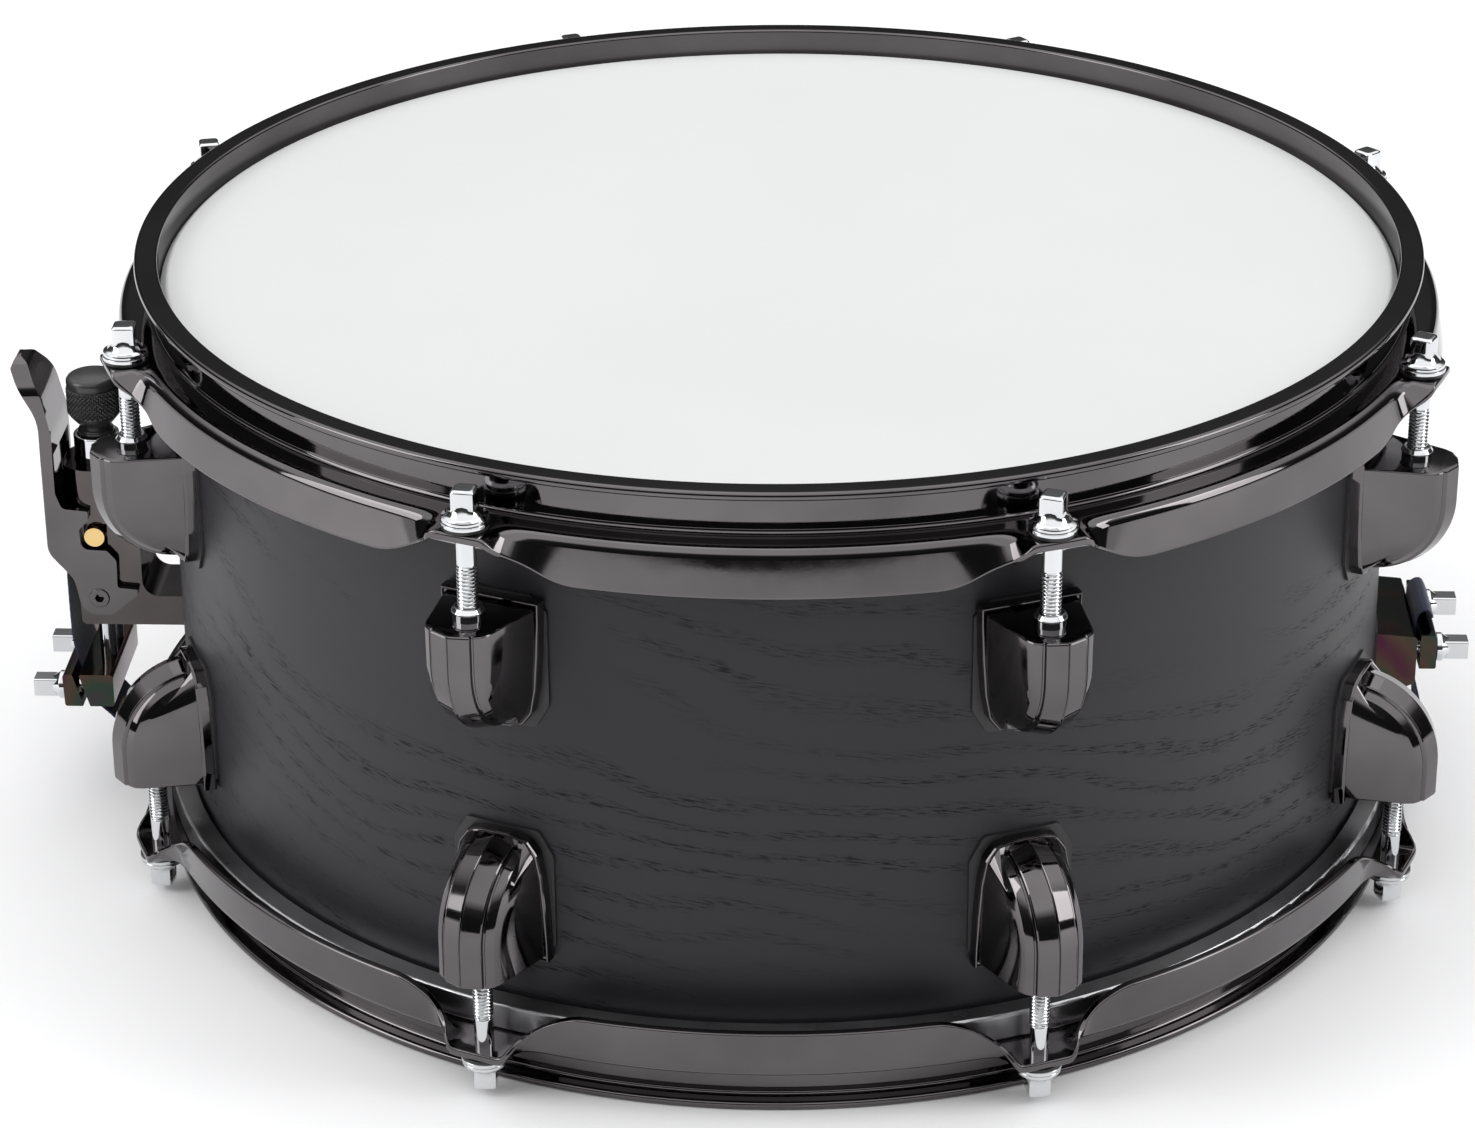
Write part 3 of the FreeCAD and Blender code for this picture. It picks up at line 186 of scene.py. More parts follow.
def tinted_nickel():
    """Black nickel with the faint purple, green and bronze bloom of thin plating."""
    skin = plated("tinted_nickel", (0.06, 0.05, 0.05), (0.09, 0.08, 0.08), 0.06, 0.14)
    drift = noise(skin, local_coords(skin), 48.0, 2.0, 0.5, 0.6)
    drive(skin, "Base Color", ramp(skin, drift, [
        (0.36, (0.062, 0.018, 0.036)),
        (0.47, (0.070, 0.046, 0.034)),
        (0.56, (0.030, 0.050, 0.036)),
        (0.66, (0.066, 0.030, 0.050)),
    ]))
    return skin


def stained_ash():
    """Black open-pored ash: cathedral growth rings with short pores along them."""
    skin = new_skin("stained_ash", (0.017, 0.0165, 0.0185), Specular_IOR_Level=0.38)
    nodes, links = skin.node_tree.nodes, skin.node_tree.links
    place = nodes.new("ShaderNodeTexCoord")
    parts = nodes.new("ShaderNodeSeparateXYZ")
    links.new(place.outputs["Object"], parts.inputs[0])
    angle = math_node(skin, "ARCTAN2", parts.outputs["Y"], parts.outputs["X"])
    along = math_node(skin, "MULTIPLY", angle, SHELL_RADIUS * MM)
    slant = math_node(skin, "MULTIPLY", along, 0.17)
    across = math_node(skin, "ADD", parts.outputs["Z"], slant)

    def sheet_coords(stretch_along, stretch_across):
        pair = nodes.new("ShaderNodeCombineXYZ")
        links.new(math_node(skin, "MULTIPLY", along, stretch_along), pair.inputs[0])
        links.new(math_node(skin, "MULTIPLY", across, stretch_across), pair.inputs[1])
        return pair.outputs[0]

    sway = noise(skin, sheet_coords(6.0, 11.0), 1.0, 2.0)
    ripple = noise(skin, sheet_coords(45.0, 60.0), 1.0, 3.0)
    bent = math_node(skin, "ADD", across, math_node(skin, "MULTIPLY", sway, 0.075))
    bent = math_node(skin, "ADD", bent, math_node(skin, "MULTIPLY", ripple, 0.004))
    phase = math_node(skin, "MULTIPLY", bent, TAU * 95.0)
    rings = math_node(skin, "SINE", phase, 0.0)
    ring = math_node(skin, "MULTIPLY_ADD", rings, 0.5)
    nodes[-1].inputs[2].default_value = 0.5
    pores = noise(skin, sheet_coords(210.0, 1900.0), 1.0, 3.0, 0.6)
    pore = ramp(skin, pores, [(0.50, 0.0), (0.62, 1.0)])
    early = ramp(skin, ring, [(0.45, 0.0), (0.95, 1.0)])
    patch = ramp(skin, noise(skin, sheet_coords(7.0, 14.0), 1.0, 2.0), [(0.42, 0.06), (0.58, 1.0)])
    open_grain = math_node(skin, "MULTIPLY", pore, math_node(skin, "MULTIPLY", early, patch))
    drive(skin, "Base Color", ramp(skin, open_grain, [
        (0.0, (0.0150, 0.0142, 0.0172)),
        (0.9, (0.0030, 0.0029, 0.0033)),
    ]))
    drive(skin, "Roughness", ramp(skin, open_grain, [(0.0, 0.44), (1.0, 0.85)]))
    low = math_node(skin, "MULTIPLY", open_grain, -1.0)
    bump(skin, low, 0.35, 0.0001)
    return skin


def coated_film():
    """White sprayed coating with a fine tooth and faint cloudiness."""
    skin = new_skin("coated_film", (0.78, 0.785, 0.78), Specular_IOR_Level=0.25)
    place = local_coords(skin)
    cloud = noise(skin, place, 5.0, 3.0)
    drive(skin, "Base Color", ramp(skin, cloud, [(0.3, (0.655, 0.66, 0.655)), (0.7, (0.69, 0.695, 0.69))]))
    drive(skin, "Roughness", ramp(skin, noise(skin, place, 300.0), [(0.3, 0.55), (0.7, 0.68)]))
    bump(skin, noise(skin, place, 2200.0, 2.0), 0.12, 0.00004)
    return skin


def clear_film():
    """Thin clear film, a little hazy, with fine scuffs in its gloss."""
    skin = new_skin("clear_film", (0.72, 0.76, 0.78), Alpha=0.34, IOR=1.5)
    place = local_coords(skin)
    drive(skin, "Base Color", ramp(skin, noise(skin, place, 14.0), [
        (0.3, (0.66, 0.70, 0.72)),
        (0.7, (0.78, 0.81, 0.83)),
    ]))
    drive(skin, "Roughness", ramp(skin, noise(skin, place, 160.0, 6.0), [(0.35, 0.12), (0.8, 0.3)]))
    bump(skin, noise(skin, place, 700.0), 0.05, 0.00002)
    return skin


def moulded(name, low, high, rough_low, rough_high, tooth=1400.0):
    """Moulded plastic, rubber or paint with a fine tooth."""
    skin = new_skin(name, high)
    place = local_coords(skin)
    drive(skin, "Base Color", ramp(skin, noise(skin, place, 40.0), [(0.3, low), (0.7, high)]))
    drive(skin, "Roughness", ramp(skin, noise(skin, place, 120.0), [(0.3, rough_low), (0.7, rough_high)]))
    bump(skin, noise(skin, place, tooth, 3.0), 0.18, 0.00004)
    return skin


def grosgrain():
    """Blue-black ribbed ribbon: fine cross threads over the modelled ribs."""
    skin = new_skin("grosgrain", (0.012, 0.016, 0.045), Sheen_Weight=0.35, Sheen_Roughness=0.4)
    fine = noise(skin, local_coords(skin, (300.0, 3600.0, 300.0)), 1.0, 2.0)
    soft = noise(skin, local_coords(skin), 90.0, 3.0)
    fine_share = math_node(skin, "MULTIPLY", fine, 0.7)
    soft_share = math_node(skin, "MULTIPLY", soft, 0.3)
    mixed = math_node(skin, "ADD", fine_share, soft_share)
    drive(skin, "Base Color", ramp(skin, mixed, [
        (0.32, (0.006, 0.008, 0.024)),
        (0.66, (0.022, 0.030, 0.075)),
    ]))
    drive(skin, "Roughness", ramp(skin, soft, [(0.3, 0.72), (0.7, 0.9)]))
    bump(skin, fine, 0.35, 0.00008)
    return skin


SKINS = {
    "shell_finish": stained_ash(),
    "black_nickel": plated("black_nickel", (0.105, 0.098, 0.101), (0.142, 0.133, 0.137), 0.03, 0.10),
    "coated_film": coated_film(),
    "clear_film": clear_film(),
    "flesh_hoop": plated(
        "flesh_hoop", (0.42, 0.42, 0.43), (0.56, 0.56, 0.57), 0.24, 0.42, (1.0, 1.0, 6.0)),
    "chrome": plated("chrome", (0.60, 0.61, 0.625), (0.72, 0.73, 0.74), 0.03, 0.09),
    "black_plastic": moulded("black_plastic", (0.010, 0.010, 0.011), (0.020, 0.020, 0.021), 0.35, 0.5),
    "black_metal": plated("black_metal", (0.080, 0.070, 0.070), (0.115, 0.102, 0.101), 0.07, 0.15),
    "knob_black": moulded("knob_black", (0.026, 0.025, 0.026), (0.045, 0.043, 0.044), 0.22, 0.34),
    "tinted_nickel": tinted_nickel(),
    "brass_pin": plated("brass_pin", (0.62, 0.43, 0.17), (0.80, 0.58, 0.26), 0.12, 0.26),
    "plain_steel": plated(
        "plain_steel", (0.50, 0.50, 0.51), (0.62, 0.62, 0.63), 0.16, 0.3, (8.0, 1.0, 1.0)),
    "ribbon_fabric": grosgrain(),
}


# ---------------------------------------------------------------- piece building
def body_name(node):
    """The CAD body that a node rides on."""
    empty = frame["nodes"][node].parent
    return next(name for name, found in frame["bodies"].items() if found == empty)


def add_piece(name, mesh, skin, body, nodes=()):
    """Link a mesh as a piece that rides a body and stands for CAD nodes."""
    mesh.materials.clear()
    mesh.materials.append(SKINS[skin])
    piece = bpy.data.objects.new(name, mesh)
    bpy.context.scene.collection.objects.link(piece)
    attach(piece, body)
    if nodes:
        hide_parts(*nodes)
    return piece


def mesh_of(name, points, faces):
    """A smooth mesh from points in millimetres."""
    mesh = bpy.data.meshes.new(name)
    mesh.from_pydata([tuple(float(c) * MM for c in p) for p in points], [], faces)
    mesh.update()
    mesh.shade_smooth()
    return mesh


def weigh_normals(piece):
    """Shade by face area, so that broad faces stay flat beside their rounded edges."""
    weighted = piece.modifiers.new("weighted", "WEIGHTED_NORMAL")
    weighted.weight = 80
    weighted.keep_sharp = True


def tube_faces(rings, points, closed=False, capped=False):
    """Faces between rings of points; each ring closes on itself."""
    faces = []
    for i in range(rings if closed else rings - 1):
        j = (i + 1) % rings
        for k in range(points):
            m = (k + 1) % points
            faces.append((i * points + k, i * points + m, j * points + m, j * points + k))
    if capped:
        faces.append(tuple(range(points))[::-1])
        faces.append(tuple((rings - 1) * points + k for k in range(points)))
    return faces


def rounded(node, width, skin, angle=28.0, segments=3):
    """A finer piece from a CAD node: flat faces merged again and every edge rounded."""
    mesh = frame["nodes"][node].data.copy()
    work = bmesh.new()
    work.from_mesh(mesh)
    bmesh.ops.remove_doubles(work, verts=work.verts, dist=4e-6)
    bmesh.ops.dissolve_limit(work, angle_limit=math.radians(0.7), verts=work.verts, edges=work.edges)
    work.to_mesh(mesh)
    work.free()
    for spare in [a.name for a in mesh.attributes if a.name in ("custom_normal", "sharp_face")]:
        mesh.attributes.remove(mesh.attributes[spare])
    mesh.shade_smooth()
    mesh.set_sharp_from_angle(angle=math.radians(angle))
    piece = add_piece(f"{node}_rounded", mesh, skin, body_name(node), [node])
    bevel = piece.modifiers.new("edges", "BEVEL")
    bevel.width = width * MM
    bevel.segments = segments
    bevel.limit_method = "ANGLE"
    bevel.angle_limit = math.radians(angle)
    bevel.harden_normals = True
    bevel.use_clamp_overlap = True


def soft_corner(before, corner, after, reach, steps):
    """Points along a rounded corner that starts and ends reach away from it."""
    before, corner, after = Vector(before), Vector(corner), Vector(after)
    start = corner + (before - corner).normalized() * reach
    end = corner + (after - corner).normalized() * reach
    points = []
    for i in range(steps + 1):
        t = i / steps
        points.append(start * (1 - t) ** 2 + corner * 2 * t * (1 - t) + end * t * t)
    return points


def soft_profile(corners, steps=5):
    """A closed profile with each (x, z, reach) corner rounded."""
    points = []
    count = len(corners)
    for i, (x, z, reach) in enumerate(corners):
        before, after = corners[i - 1][:2], corners[(i + 1) % count][:2]
        points += soft_corner(before, (x, z), after, reach, steps)
    return points


# ---------------------------------------------------------------- hoops
EAR_FLAT, EAR_FADE = 5.8, 24.0  # half the ear's flat, and the run from it to the full skirt
GATE_INNER, GATE_OUTER = 172.0, 188.2


def ear_blend(arc):
    """0 on the ear's flat, 1 where the skirt hangs at full depth; arc is in mm from the rod."""
    v = min(max((arc - EAR_FLAT) / EAR_FADE, 0.0), 1.0)
    ease_in = min(v / 0.22, 1.0)
    ease_in = ease_in * ease_in * (3 - 2 * ease_in)
    return (1 - (1 - v) ** 2) * ease_in


def hoop_profile(blend, skirt):
    """The folded sheet's section in (radius, height); the ear face is at height 0."""
    turn_in = min(blend * 1.25, 1.0)
    edge = EAR_REACH - (EAR_REACH - SKIRT_RADIUS) * turn_in * turn_in * (3 - 2 * turn_in)
    drop = skirt * blend
    slope = math.atan2(drop, edge - SHOULDER_RADIUS)
    inner_edge = (edge - STEEL * math.sin(slope), -drop - STEEL * math.cos(slope))
    inner_shoulder = SHOULDER_RADIUS - STEEL * math.tan(slope / 2)
    wall = HOOP_BORE + STEEL
    return soft_profile([
        (HOOP_BORE, LIP_HEIGHT, 0.9),
        (LIP_RADIUS, LIP_HEIGHT, 1.1),
        (LIP_RADIUS, LIP_HEIGHT - STEEL, 1.1),
        (wall, LIP_HEIGHT - STEEL, 1.2),
        (wall, 0.0, 1.6),
        (SHOULDER_RADIUS, 0.0, 2.9),
        (edge, -drop, 0.8),
        (*inner_edge, 0.8),
        (inner_shoulder, -STEEL, 1.2),
        (HOOP_BORE, -STEEL, 0.7),
    ])


def make_hoop(node, skirt, flipped):
    """A hoop with eight ears; the flipped one is the bottom hoop, with its gates."""
    steps = 1080
    points = []
    for i in range(steps):
        angle = TAU * i / steps
        beat = math.degrees(angle) % LUG_STEP - LUG_STEP / 2
        arc = math.radians(abs(beat)) * ROD_CIRCLE
        for radius, height in hoop_profile(ear_blend(arc), skirt):
            z = LIP_HEIGHT - height if flipped else DRUM_HEIGHT - LIP_HEIGHT + height
            points.append((radius * math.cos(angle), radius * math.sin(angle), z))
    per_ring = len(points) // steps
    faces = tube_faces(steps, per_ring, closed=True)
    if not flipped:
        faces = [face[::-1] for face in faces]
    mesh = mesh_of(node, points, faces)
    piece = add_piece(f"{node}_sheet", mesh, "black_nickel", body_name(node), [node])
    if flipped:
        cut_gates(piece)
    weigh_normals(piece)


def cut_gates(piece):
    """Open the two snare gates through the bottom hoop's wall and lip."""
    corners = []
    faces = []
    for side in (1, -1):
        base = len(corners)
        for x in (GATE_INNER * side, GATE_OUTER * side):
            for y in (-GATE_HALF, GATE_HALF):
                for z in (-2.0, LIP_HEIGHT - 0.05):
                    corners.append((x, y, z))
        for quad in ((0, 1, 3, 2), (4, 6, 7, 5), (0, 4, 5, 1),
                     (2, 3, 7, 6), (0, 2, 6, 4), (1, 5, 7, 3)):
            faces.append(tuple(base + k for k in quad))
    cutter = bpy.data.objects.new("gate_cutter", mesh_of("gate_cutter", corners, faces))
    bpy.context.scene.collection.objects.link(cutter)
    cut = piece.modifiers.new("gates", "BOOLEAN")
    cut.operation = "DIFFERENCE"
    cut.solver = "EXACT"
    cut.object = cutter
    bake_modifiers(piece)
    bpy.data.objects.remove(cutter)


def bake_modifiers(piece):
    """Apply all modifiers of a piece to its mesh."""
    graph = bpy.context.evaluated_depsgraph_get()
    done = bpy.data.meshes.new_from_object(piece.evaluated_get(graph), depsgraph=graph)
    piece.modifiers.clear()
    piece.data = done


make_hoop("top_hoop", skirt=13.0, flipped=False)
make_hoop("bottom_hoop", skirt=14.7, flipped=True)


# ---------------------------------------------------------------- tension rods
# Heights are from the ear face, upwards.
HEAD_TOP, TRUMPET_TOP = 10.7, 6.9
HALF_SQUARE = 3.1
RIM_LOW, RIM_HIGH, RIM_RADIUS = 2.05, 3.3, 6.15
THREAD_TOP, ROD_TIP = -10.5, -43.0
THREAD_ROOT, THREAD_CREST, THREAD_PITCH = 2.3, 2.75, 1.06


def square_radius(angle, half, corner):
    """Radius of a rounded square at an angle from its face."""
    folded = abs((angle + math.pi / 4) % (math.pi / 2) - math.pi / 4)
    flat = half / math.cos(folded)
    inner = half - corner
    spread = folded - math.pi / 4
    middle = inner * math.sqrt(2)
    root = corner * corner - (middle * math.sin(spread)) ** 2
    if root < 0 or half * math.tan(folded) < inner:
        return flat
    return min(flat, middle * math.cos(spread) + math.sqrt(root))


def rod_mesh():
    """A key rod: helical thread, shank, rim, trumpet and square head."""
    columns = 28
    levels = []
    turns = (THREAD_TOP - ROD_TIP) / THREAD_PITCH
    thread_rows = int(turns * 7)
    levels.append((ROD_TIP, lambda a: 1.6))
    levels.append((ROD_TIP + 0.35, lambda a: THREAD_ROOT))
    for row in range(1, thread_rows):
        z = ROD_TIP + 0.5 + (THREAD_TOP - ROD_TIP - 0.5) * row / thread_rows
        fade = min(1.0, (z - ROD_TIP) / 1.2, (THREAD_TOP - z) / 0.8)

        def thread(a, z=z, fade=fade):
            lift = abs(2 * (((z / THREAD_PITCH) + a / TAU) % 1.0) - 1)
            return THREAD_ROOT + (THREAD_CREST - THREAD_ROOT) * min(1.0, 1.35 * lift) * fade

        levels.append((z, thread))
    shank = THREAD_CREST - 0.12
    levels += [(THREAD_TOP + 0.2, lambda a: shank), (RIM_LOW - 0.2, lambda a: shank)]
    for z, radius in (
        (RIM_LOW, shank),
        (RIM_LOW, RIM_RADIUS - 0.35),
        (RIM_LOW + 0.12, RIM_RADIUS - 0.08),
        (RIM_LOW + 0.35, RIM_RADIUS),
        (RIM_HIGH - 0.45, RIM_RADIUS),
        (RIM_HIGH - 0.12, RIM_RADIUS - 0.12),
        (RIM_HIGH, RIM_RADIUS - 0.5),
    ):
        levels.append((z, lambda a, radius=radius: radius))
    for row in range(1, 16):
        z = RIM_HIGH + (TRUMPET_TOP - RIM_HIGH) * row / 15
        flare = 3.2 + 2.0 * max(0.0, (TRUMPET_TOP - z) / (TRUMPET_TOP - RIM_HIGH)) ** 1.7
        levels.append((z, lambda a, flare=flare: max(flare, square_radius(a, HALF_SQUARE, 0.8))))
    for z, inset in ((9.9, 0.0), (10.15, 0.05), (10.4, 0.22), (10.6, 0.5), (HEAD_TOP, 0.95)):
        levels.append((z, lambda a, inset=inset: square_radius(a, HALF_SQUARE - inset, 0.8)))
    points = []
    for z, radius in levels:
        for column in range(columns):
            angle = TAU * (column + 0.5) / columns
            r = radius(angle)
            points.append((r * math.cos(angle), r * math.sin(angle), z))
    return points, tube_faces(len(levels), columns, capped=True)


def make_rods():
    """Sixteen rods, each on its own body; the key squares stand at different angles."""
    points, faces = rod_mesh()
    for index in range(LUGS):
        bearing = math.radians(LUG_STEP * (index + 0.5))
        for side, flipped in (("top", False), ("bottom", True)):
            node = f"{side}_tension_rod_{index + 1}"
            spin = 0.35 + 0.61 * index + (0.9 if flipped else 0.0)
            place = Matrix.Rotation(bearing, 4, "Z")
            height = LIP_HEIGHT if flipped else DRUM_HEIGHT - LIP_HEIGHT
            place = place @ Matrix.Translation((ROD_CIRCLE, 0, height))
            if flipped:
                place = place @ Matrix.Rotation(math.pi, 4, "X")
            place = place @ Matrix.Rotation(spin, 4, "Z")
            placed = [place @ Vector(p) for p in points]
            mesh = mesh_of(node, placed, faces)
            mesh.set_sharp_from_angle(angle=math.radians(50))
            piece = add_piece(f"{node}_threaded", mesh, "chrome", body_name(node), [node])
            weigh_normals(piece)


make_rods()


# ---------------------------------------------------------------- lugs
LUG_TOP, LUG_REACH, LUG_FOOT, LUG_SWEEP = 141.6, 204.0, 106.8, 24.0
LUG_FLANGE = 181.3  # radius at which the lug's sides run into its flange
LUG_CREASE = math.radians(17)
# (half width, depth below the ridge) from the centre crease out to the side face
LUG_SECTION = [(0.0, 0.42), (0.34, 0.04), (5.2, 1.55), (5.5, 1.85), (5.7, 2.65),
               (6.1, 2.75), (6.35, 2.55), (7.9, 3.65), (8.25, 4.0), (9.3, 6.1)]
# (drop, inset) of the rows that round the front edge of the flat top
LUG_TOP_EDGE = [(0.0, 0.75), (0.08, 0.42), (0.25, 0.16), (0.55, 0.02)]
# (half width, height) down the footprint's edge, from its top corner to the middle of its foot
LUG_RIM = [(14.0, 143.0), (14.0, 138.0), (13.6, 128.0), (12.8, 118.0),
           (11.4, 111.0), (8.6, 107.2), (4.5, 106.2), (0.0, 106.1)]
# (radius, inset) of the flange's loops, from the shell out over its rounded edge
LUG_FLANGE_LOOPS = [(178.1, 0.0), (181.0, 0.0), (181.6, 0.25), (181.75, 0.6),
                    (181.5, 1.0), (181.1, 1.15), (181.0, 1.6)]


def lug_outline():
    """Rows of (radius, height, outward, upward, inset) from the top front edge round the belly."""
    points = []
    bend = LUG_FOOT + LUG_SWEEP
    for drop, inset in LUG_TOP_EDGE:
        points.append((LUG_REACH, LUG_TOP - drop, 1.0, 0.0, inset))
    start = LUG_TOP - 1.0
    for i in range(4):
        points.append((LUG_REACH, start + (bend - start) * i / 4, 1.0, 0.0, 0.0))
    for i in range(21):
        angle = math.radians(90 * i / 20)
        out, down = math.cos(angle), math.sin(angle)
        points.append((LUG_REACH - LUG_SWEEP + LUG_SWEEP * out, bend - LUG_SWEEP * down, out, -down, 0.0))
    return points


def along_rim(share):
    """A point of the half footprint, from its top corner (0) to the middle of its foot (1)."""
    lengths = [math.dist(a, b) for a, b in zip(LUG_RIM, LUG_RIM[1:])]
    rest = share * sum(lengths)
    for (a, b), length in zip(zip(LUG_RIM, LUG_RIM[1:]), lengths):
        if rest <= length:
            t = rest / length
            return a[0] + (b[0] - a[0]) * t, a[1] + (b[1] - a[1]) * t
        rest -= length
    return LUG_RIM[-1]


def lug_mesh():
    """Points and faces of one top lug on the +X side."""
    points = []
    outline = lug_outline()
    section = [(-y, d) for y, d in LUG_SECTION[:0:-1]] + LUG_SECTION
    columns = len(section) + 2
    edge = len(LUG_TOP_EDGE)
    for i, (radius, height, out, up, inset) in enumerate(outline):
        share = 0.04 + 0.96 * max(i - edge + 1, 0) / (len(outline) - edge)
        rim_y, rim_z = along_rim(share)
        rim_y = max(rim_y - 0.9 - inset, 0.0)
        rim_z = height if i < edge else min(rim_z, height)
        foot = math.sqrt(LUG_FLANGE ** 2 - rim_y ** 2)
        slim = 1 - inset / LUG_SECTION[-1][0]
        row = [(foot, -rim_y, rim_z)]
        row += [(radius - out * (d + inset), y * slim, height - up * d) for y, d in section]
        row.append((foot, rim_y, rim_z))
        points += row
    faces = []
    for i in range(len(outline) - 1):
        for k in range(columns - 1):
            a = i * columns + k
            faces.append((a, a + columns, a + columns + 1, a + 1))
    faces.append(tuple(range(columns)))
    half = [along_rim(i / 40) for i in range(41)]
    loop = half + [(-y, z) for y, z in half[-2::-1]]
    base = len(points)
    middle = (0.0, 126.0)
    for radius, inset in LUG_FLANGE_LOOPS:
        for y, z in loop:
            length = math.hypot(y - middle[0], z - middle[1])
            slim = (length - inset) / length
            y_in = middle[0] + (y - middle[0]) * slim
            z_in = middle[1] + (z - middle[1]) * slim
            points.append((math.sqrt(radius ** 2 - y_in ** 2), y_in, z_in))
    flange = tube_faces(len(LUG_FLANGE_LOOPS), len(loop), capped=True)
    faces += [tuple(base + k for k in face) for face in flange]
    return points, faces


def make_lugs():
    """Both rows of eight lugs, one piece each; the bottom row is the top one mirrored."""
    points, faces = lug_mesh()
    for node, flipped in (("top_lugs", False), ("bottom_lugs", True)):
        all_points = []
        all_faces = []
        for index in range(LUGS):
            turn = Matrix.Rotation(math.radians(LUG_STEP * (index + 0.5)), 3, "Z")
            base = len(all_points)
            for x, y, z in points:
                all_points.append(turn @ Vector((x, y, DRUM_HEIGHT - z if flipped else z)))
            for face in faces:
                order = face[::-1] if flipped else face
                all_faces.append(tuple(base + k for k in order))
        mesh = mesh_of(node, all_points, all_faces)
        work = bmesh.new()
        work.from_mesh(mesh)
        bmesh.ops.recalc_face_normals(work, faces=work.faces)
        work.to_mesh(mesh)
        work.free()
        mesh.set_sharp_from_angle(angle=LUG_CREASE)
        piece = add_piece(f"{node}_faceted", mesh, "black_nickel", body_name(node), [node])
        bevel = piece.modifiers.new("edges", "BEVEL")
        bevel.width = 0.12 * MM
        bevel.segments = 2
        bevel.limit_method = "ANGLE"
        bevel.angle_limit = LUG_CREASE
        bevel.harden_normals = True
        bevel.use_clamp_overlap = True


make_lugs()


# ---------------------------------------------------------------- throw-off knob
def make_knob():
    """Knurled grip with a smooth crown and a necked foot."""
    columns = 216
    diamonds = 36
    # (height, radius, knurled)
    rows = [
        (89.5, 0.8, 0), (89.9, 2.2, 0), (90.4, 2.4, 0), (108.2, 2.4, 0), (108.3, 4.3, 0),
        (108.6, 4.55, 0), (112.6, 4.55, 0), (112.8, 5.1, 0), (113.3, 5.35, 0), (113.9, 5.35, 0),
        (114.4, 5.1, 0), (114.6, 4.6, 0), (115.8, 4.7, 0), (116.6, 5.6, 0), (118.6, 7.2, 0),
        (119.2, 7.55, 0), (119.5, 7.6, 0),
    ]
    knurl_low, knurl_high, knurl_depth, knurl_sink = 119.7, 127.6, 0.8, 0.2
    crown_low, crown_radius, crown_bend = 129.6, 6.1, 1.7
    count = 32
    for i in range(count + 1):
        rows.append((knurl_low + (knurl_high - knurl_low) * i / count, 7.62, 1))
    rows += [(127.8, 7.6, 0), (128.0, 7.35, 0), (128.2, 7.35, 0), (128.4, 7.75, 0), (129.6, 7.8, 0)]
    for i in range(1, 9):
        bend = math.radians(90 * i / 8)
        z = crown_low + crown_bend * math.sin(bend)
        rows.append((z, crown_radius + crown_bend * math.cos(bend), 0))
    rows += [(131.55, 4.6, 0), (131.75, 2.8, 0), (131.85, 1.0, 0)]
    pitch = TAU * 7.7 / diamonds
    points = []
    for z, radius, cut in rows:
        for column in range(columns):
            angle = TAU * column / columns
            r = radius
            if cut:
                across = angle / TAU * diamonds
                up = (z - knurl_low) / pitch
                left = abs(((across + up) % 1.0) - 0.5) * 2
                right = abs(((across - up) % 1.0) - 0.5) * 2
                r += knurl_depth * (1 - max(left, right)) - knurl_sink
            points.append((PIVOT_X + r * math.cos(angle), r * math.sin(angle), z))
    mesh = mesh_of("knob", points, tube_faces(len(rows), columns, capped=True))
    mesh.set_sharp_from_angle(angle=math.radians(45))
    add_piece("strainer_knob_knurled", mesh, "knob_black", body_name("strainer_knob"), ["strainer_knob"])


make_knob()


# ---------------------------------------------------------------- snares and ribbons
def make_coils():
    """Twenty coiled strands between the end plates."""
    low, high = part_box("snare_wires")
    middle = (low.z + high.z) / 2 / MM
    reach = high.x / MM
    strands, per_turn, sides = 20, 8, 4
    spacing = 2.2
    turns = 104
    coil, wire = 0.72, 0.27
    points = []
    faces = []
    steps = turns * per_turn + 1
    for strand in range(strands):
        across = (strand - (strands - 1) / 2) * spacing
        base = len(points)
        for step in range(steps):
            angle = TAU * step / per_turn
            x = -reach + 2 * reach * step / (steps - 1)
            for side in range(sides):
                lean = TAU * (side + 0.5) / sides
                r = coil + wire * math.cos(lean)
                y, z = across + r * math.cos(angle), middle + r * math.sin(angle)
                points.append((x + wire * math.sin(lean), y, z))
        faces += [tuple(base + k for k in face) for face in tube_faces(steps, sides, capped=True)]
    mesh = mesh_of("coils", points, faces)
    add_piece("snare_wires_coiled", mesh, "plain_steel", body_name("snare_wires"), ["snare_wires"])


def smooth_path(corners, spacing):
    """Even points along a Catmull-Rom curve through the corners."""
    dense = []
    ends = [corners[0]] + corners + [corners[-1]]
    for i in range(1, len(ends) - 2):
        a, b, c, d = (Vector(ends[k]) for k in (i - 1, i, i + 1, i + 2))
        for step in range(24):
            t = step / 24
            dense.append(0.5 * (2 * b + (c - a) * t + (2 * a - 5 * b + 4 * c - d) * t ** 2
                                + (3 * b - a - 3 * c + d) * t ** 3))
    dense.append(Vector(corners[-1]))
    even = [dense[0]]
    run = 0.0
    for before, after in zip(dense, dense[1:]):
        run += (after - before).length
        if run >= spacing:
            even.append(after)
            run = 0.0
    return even


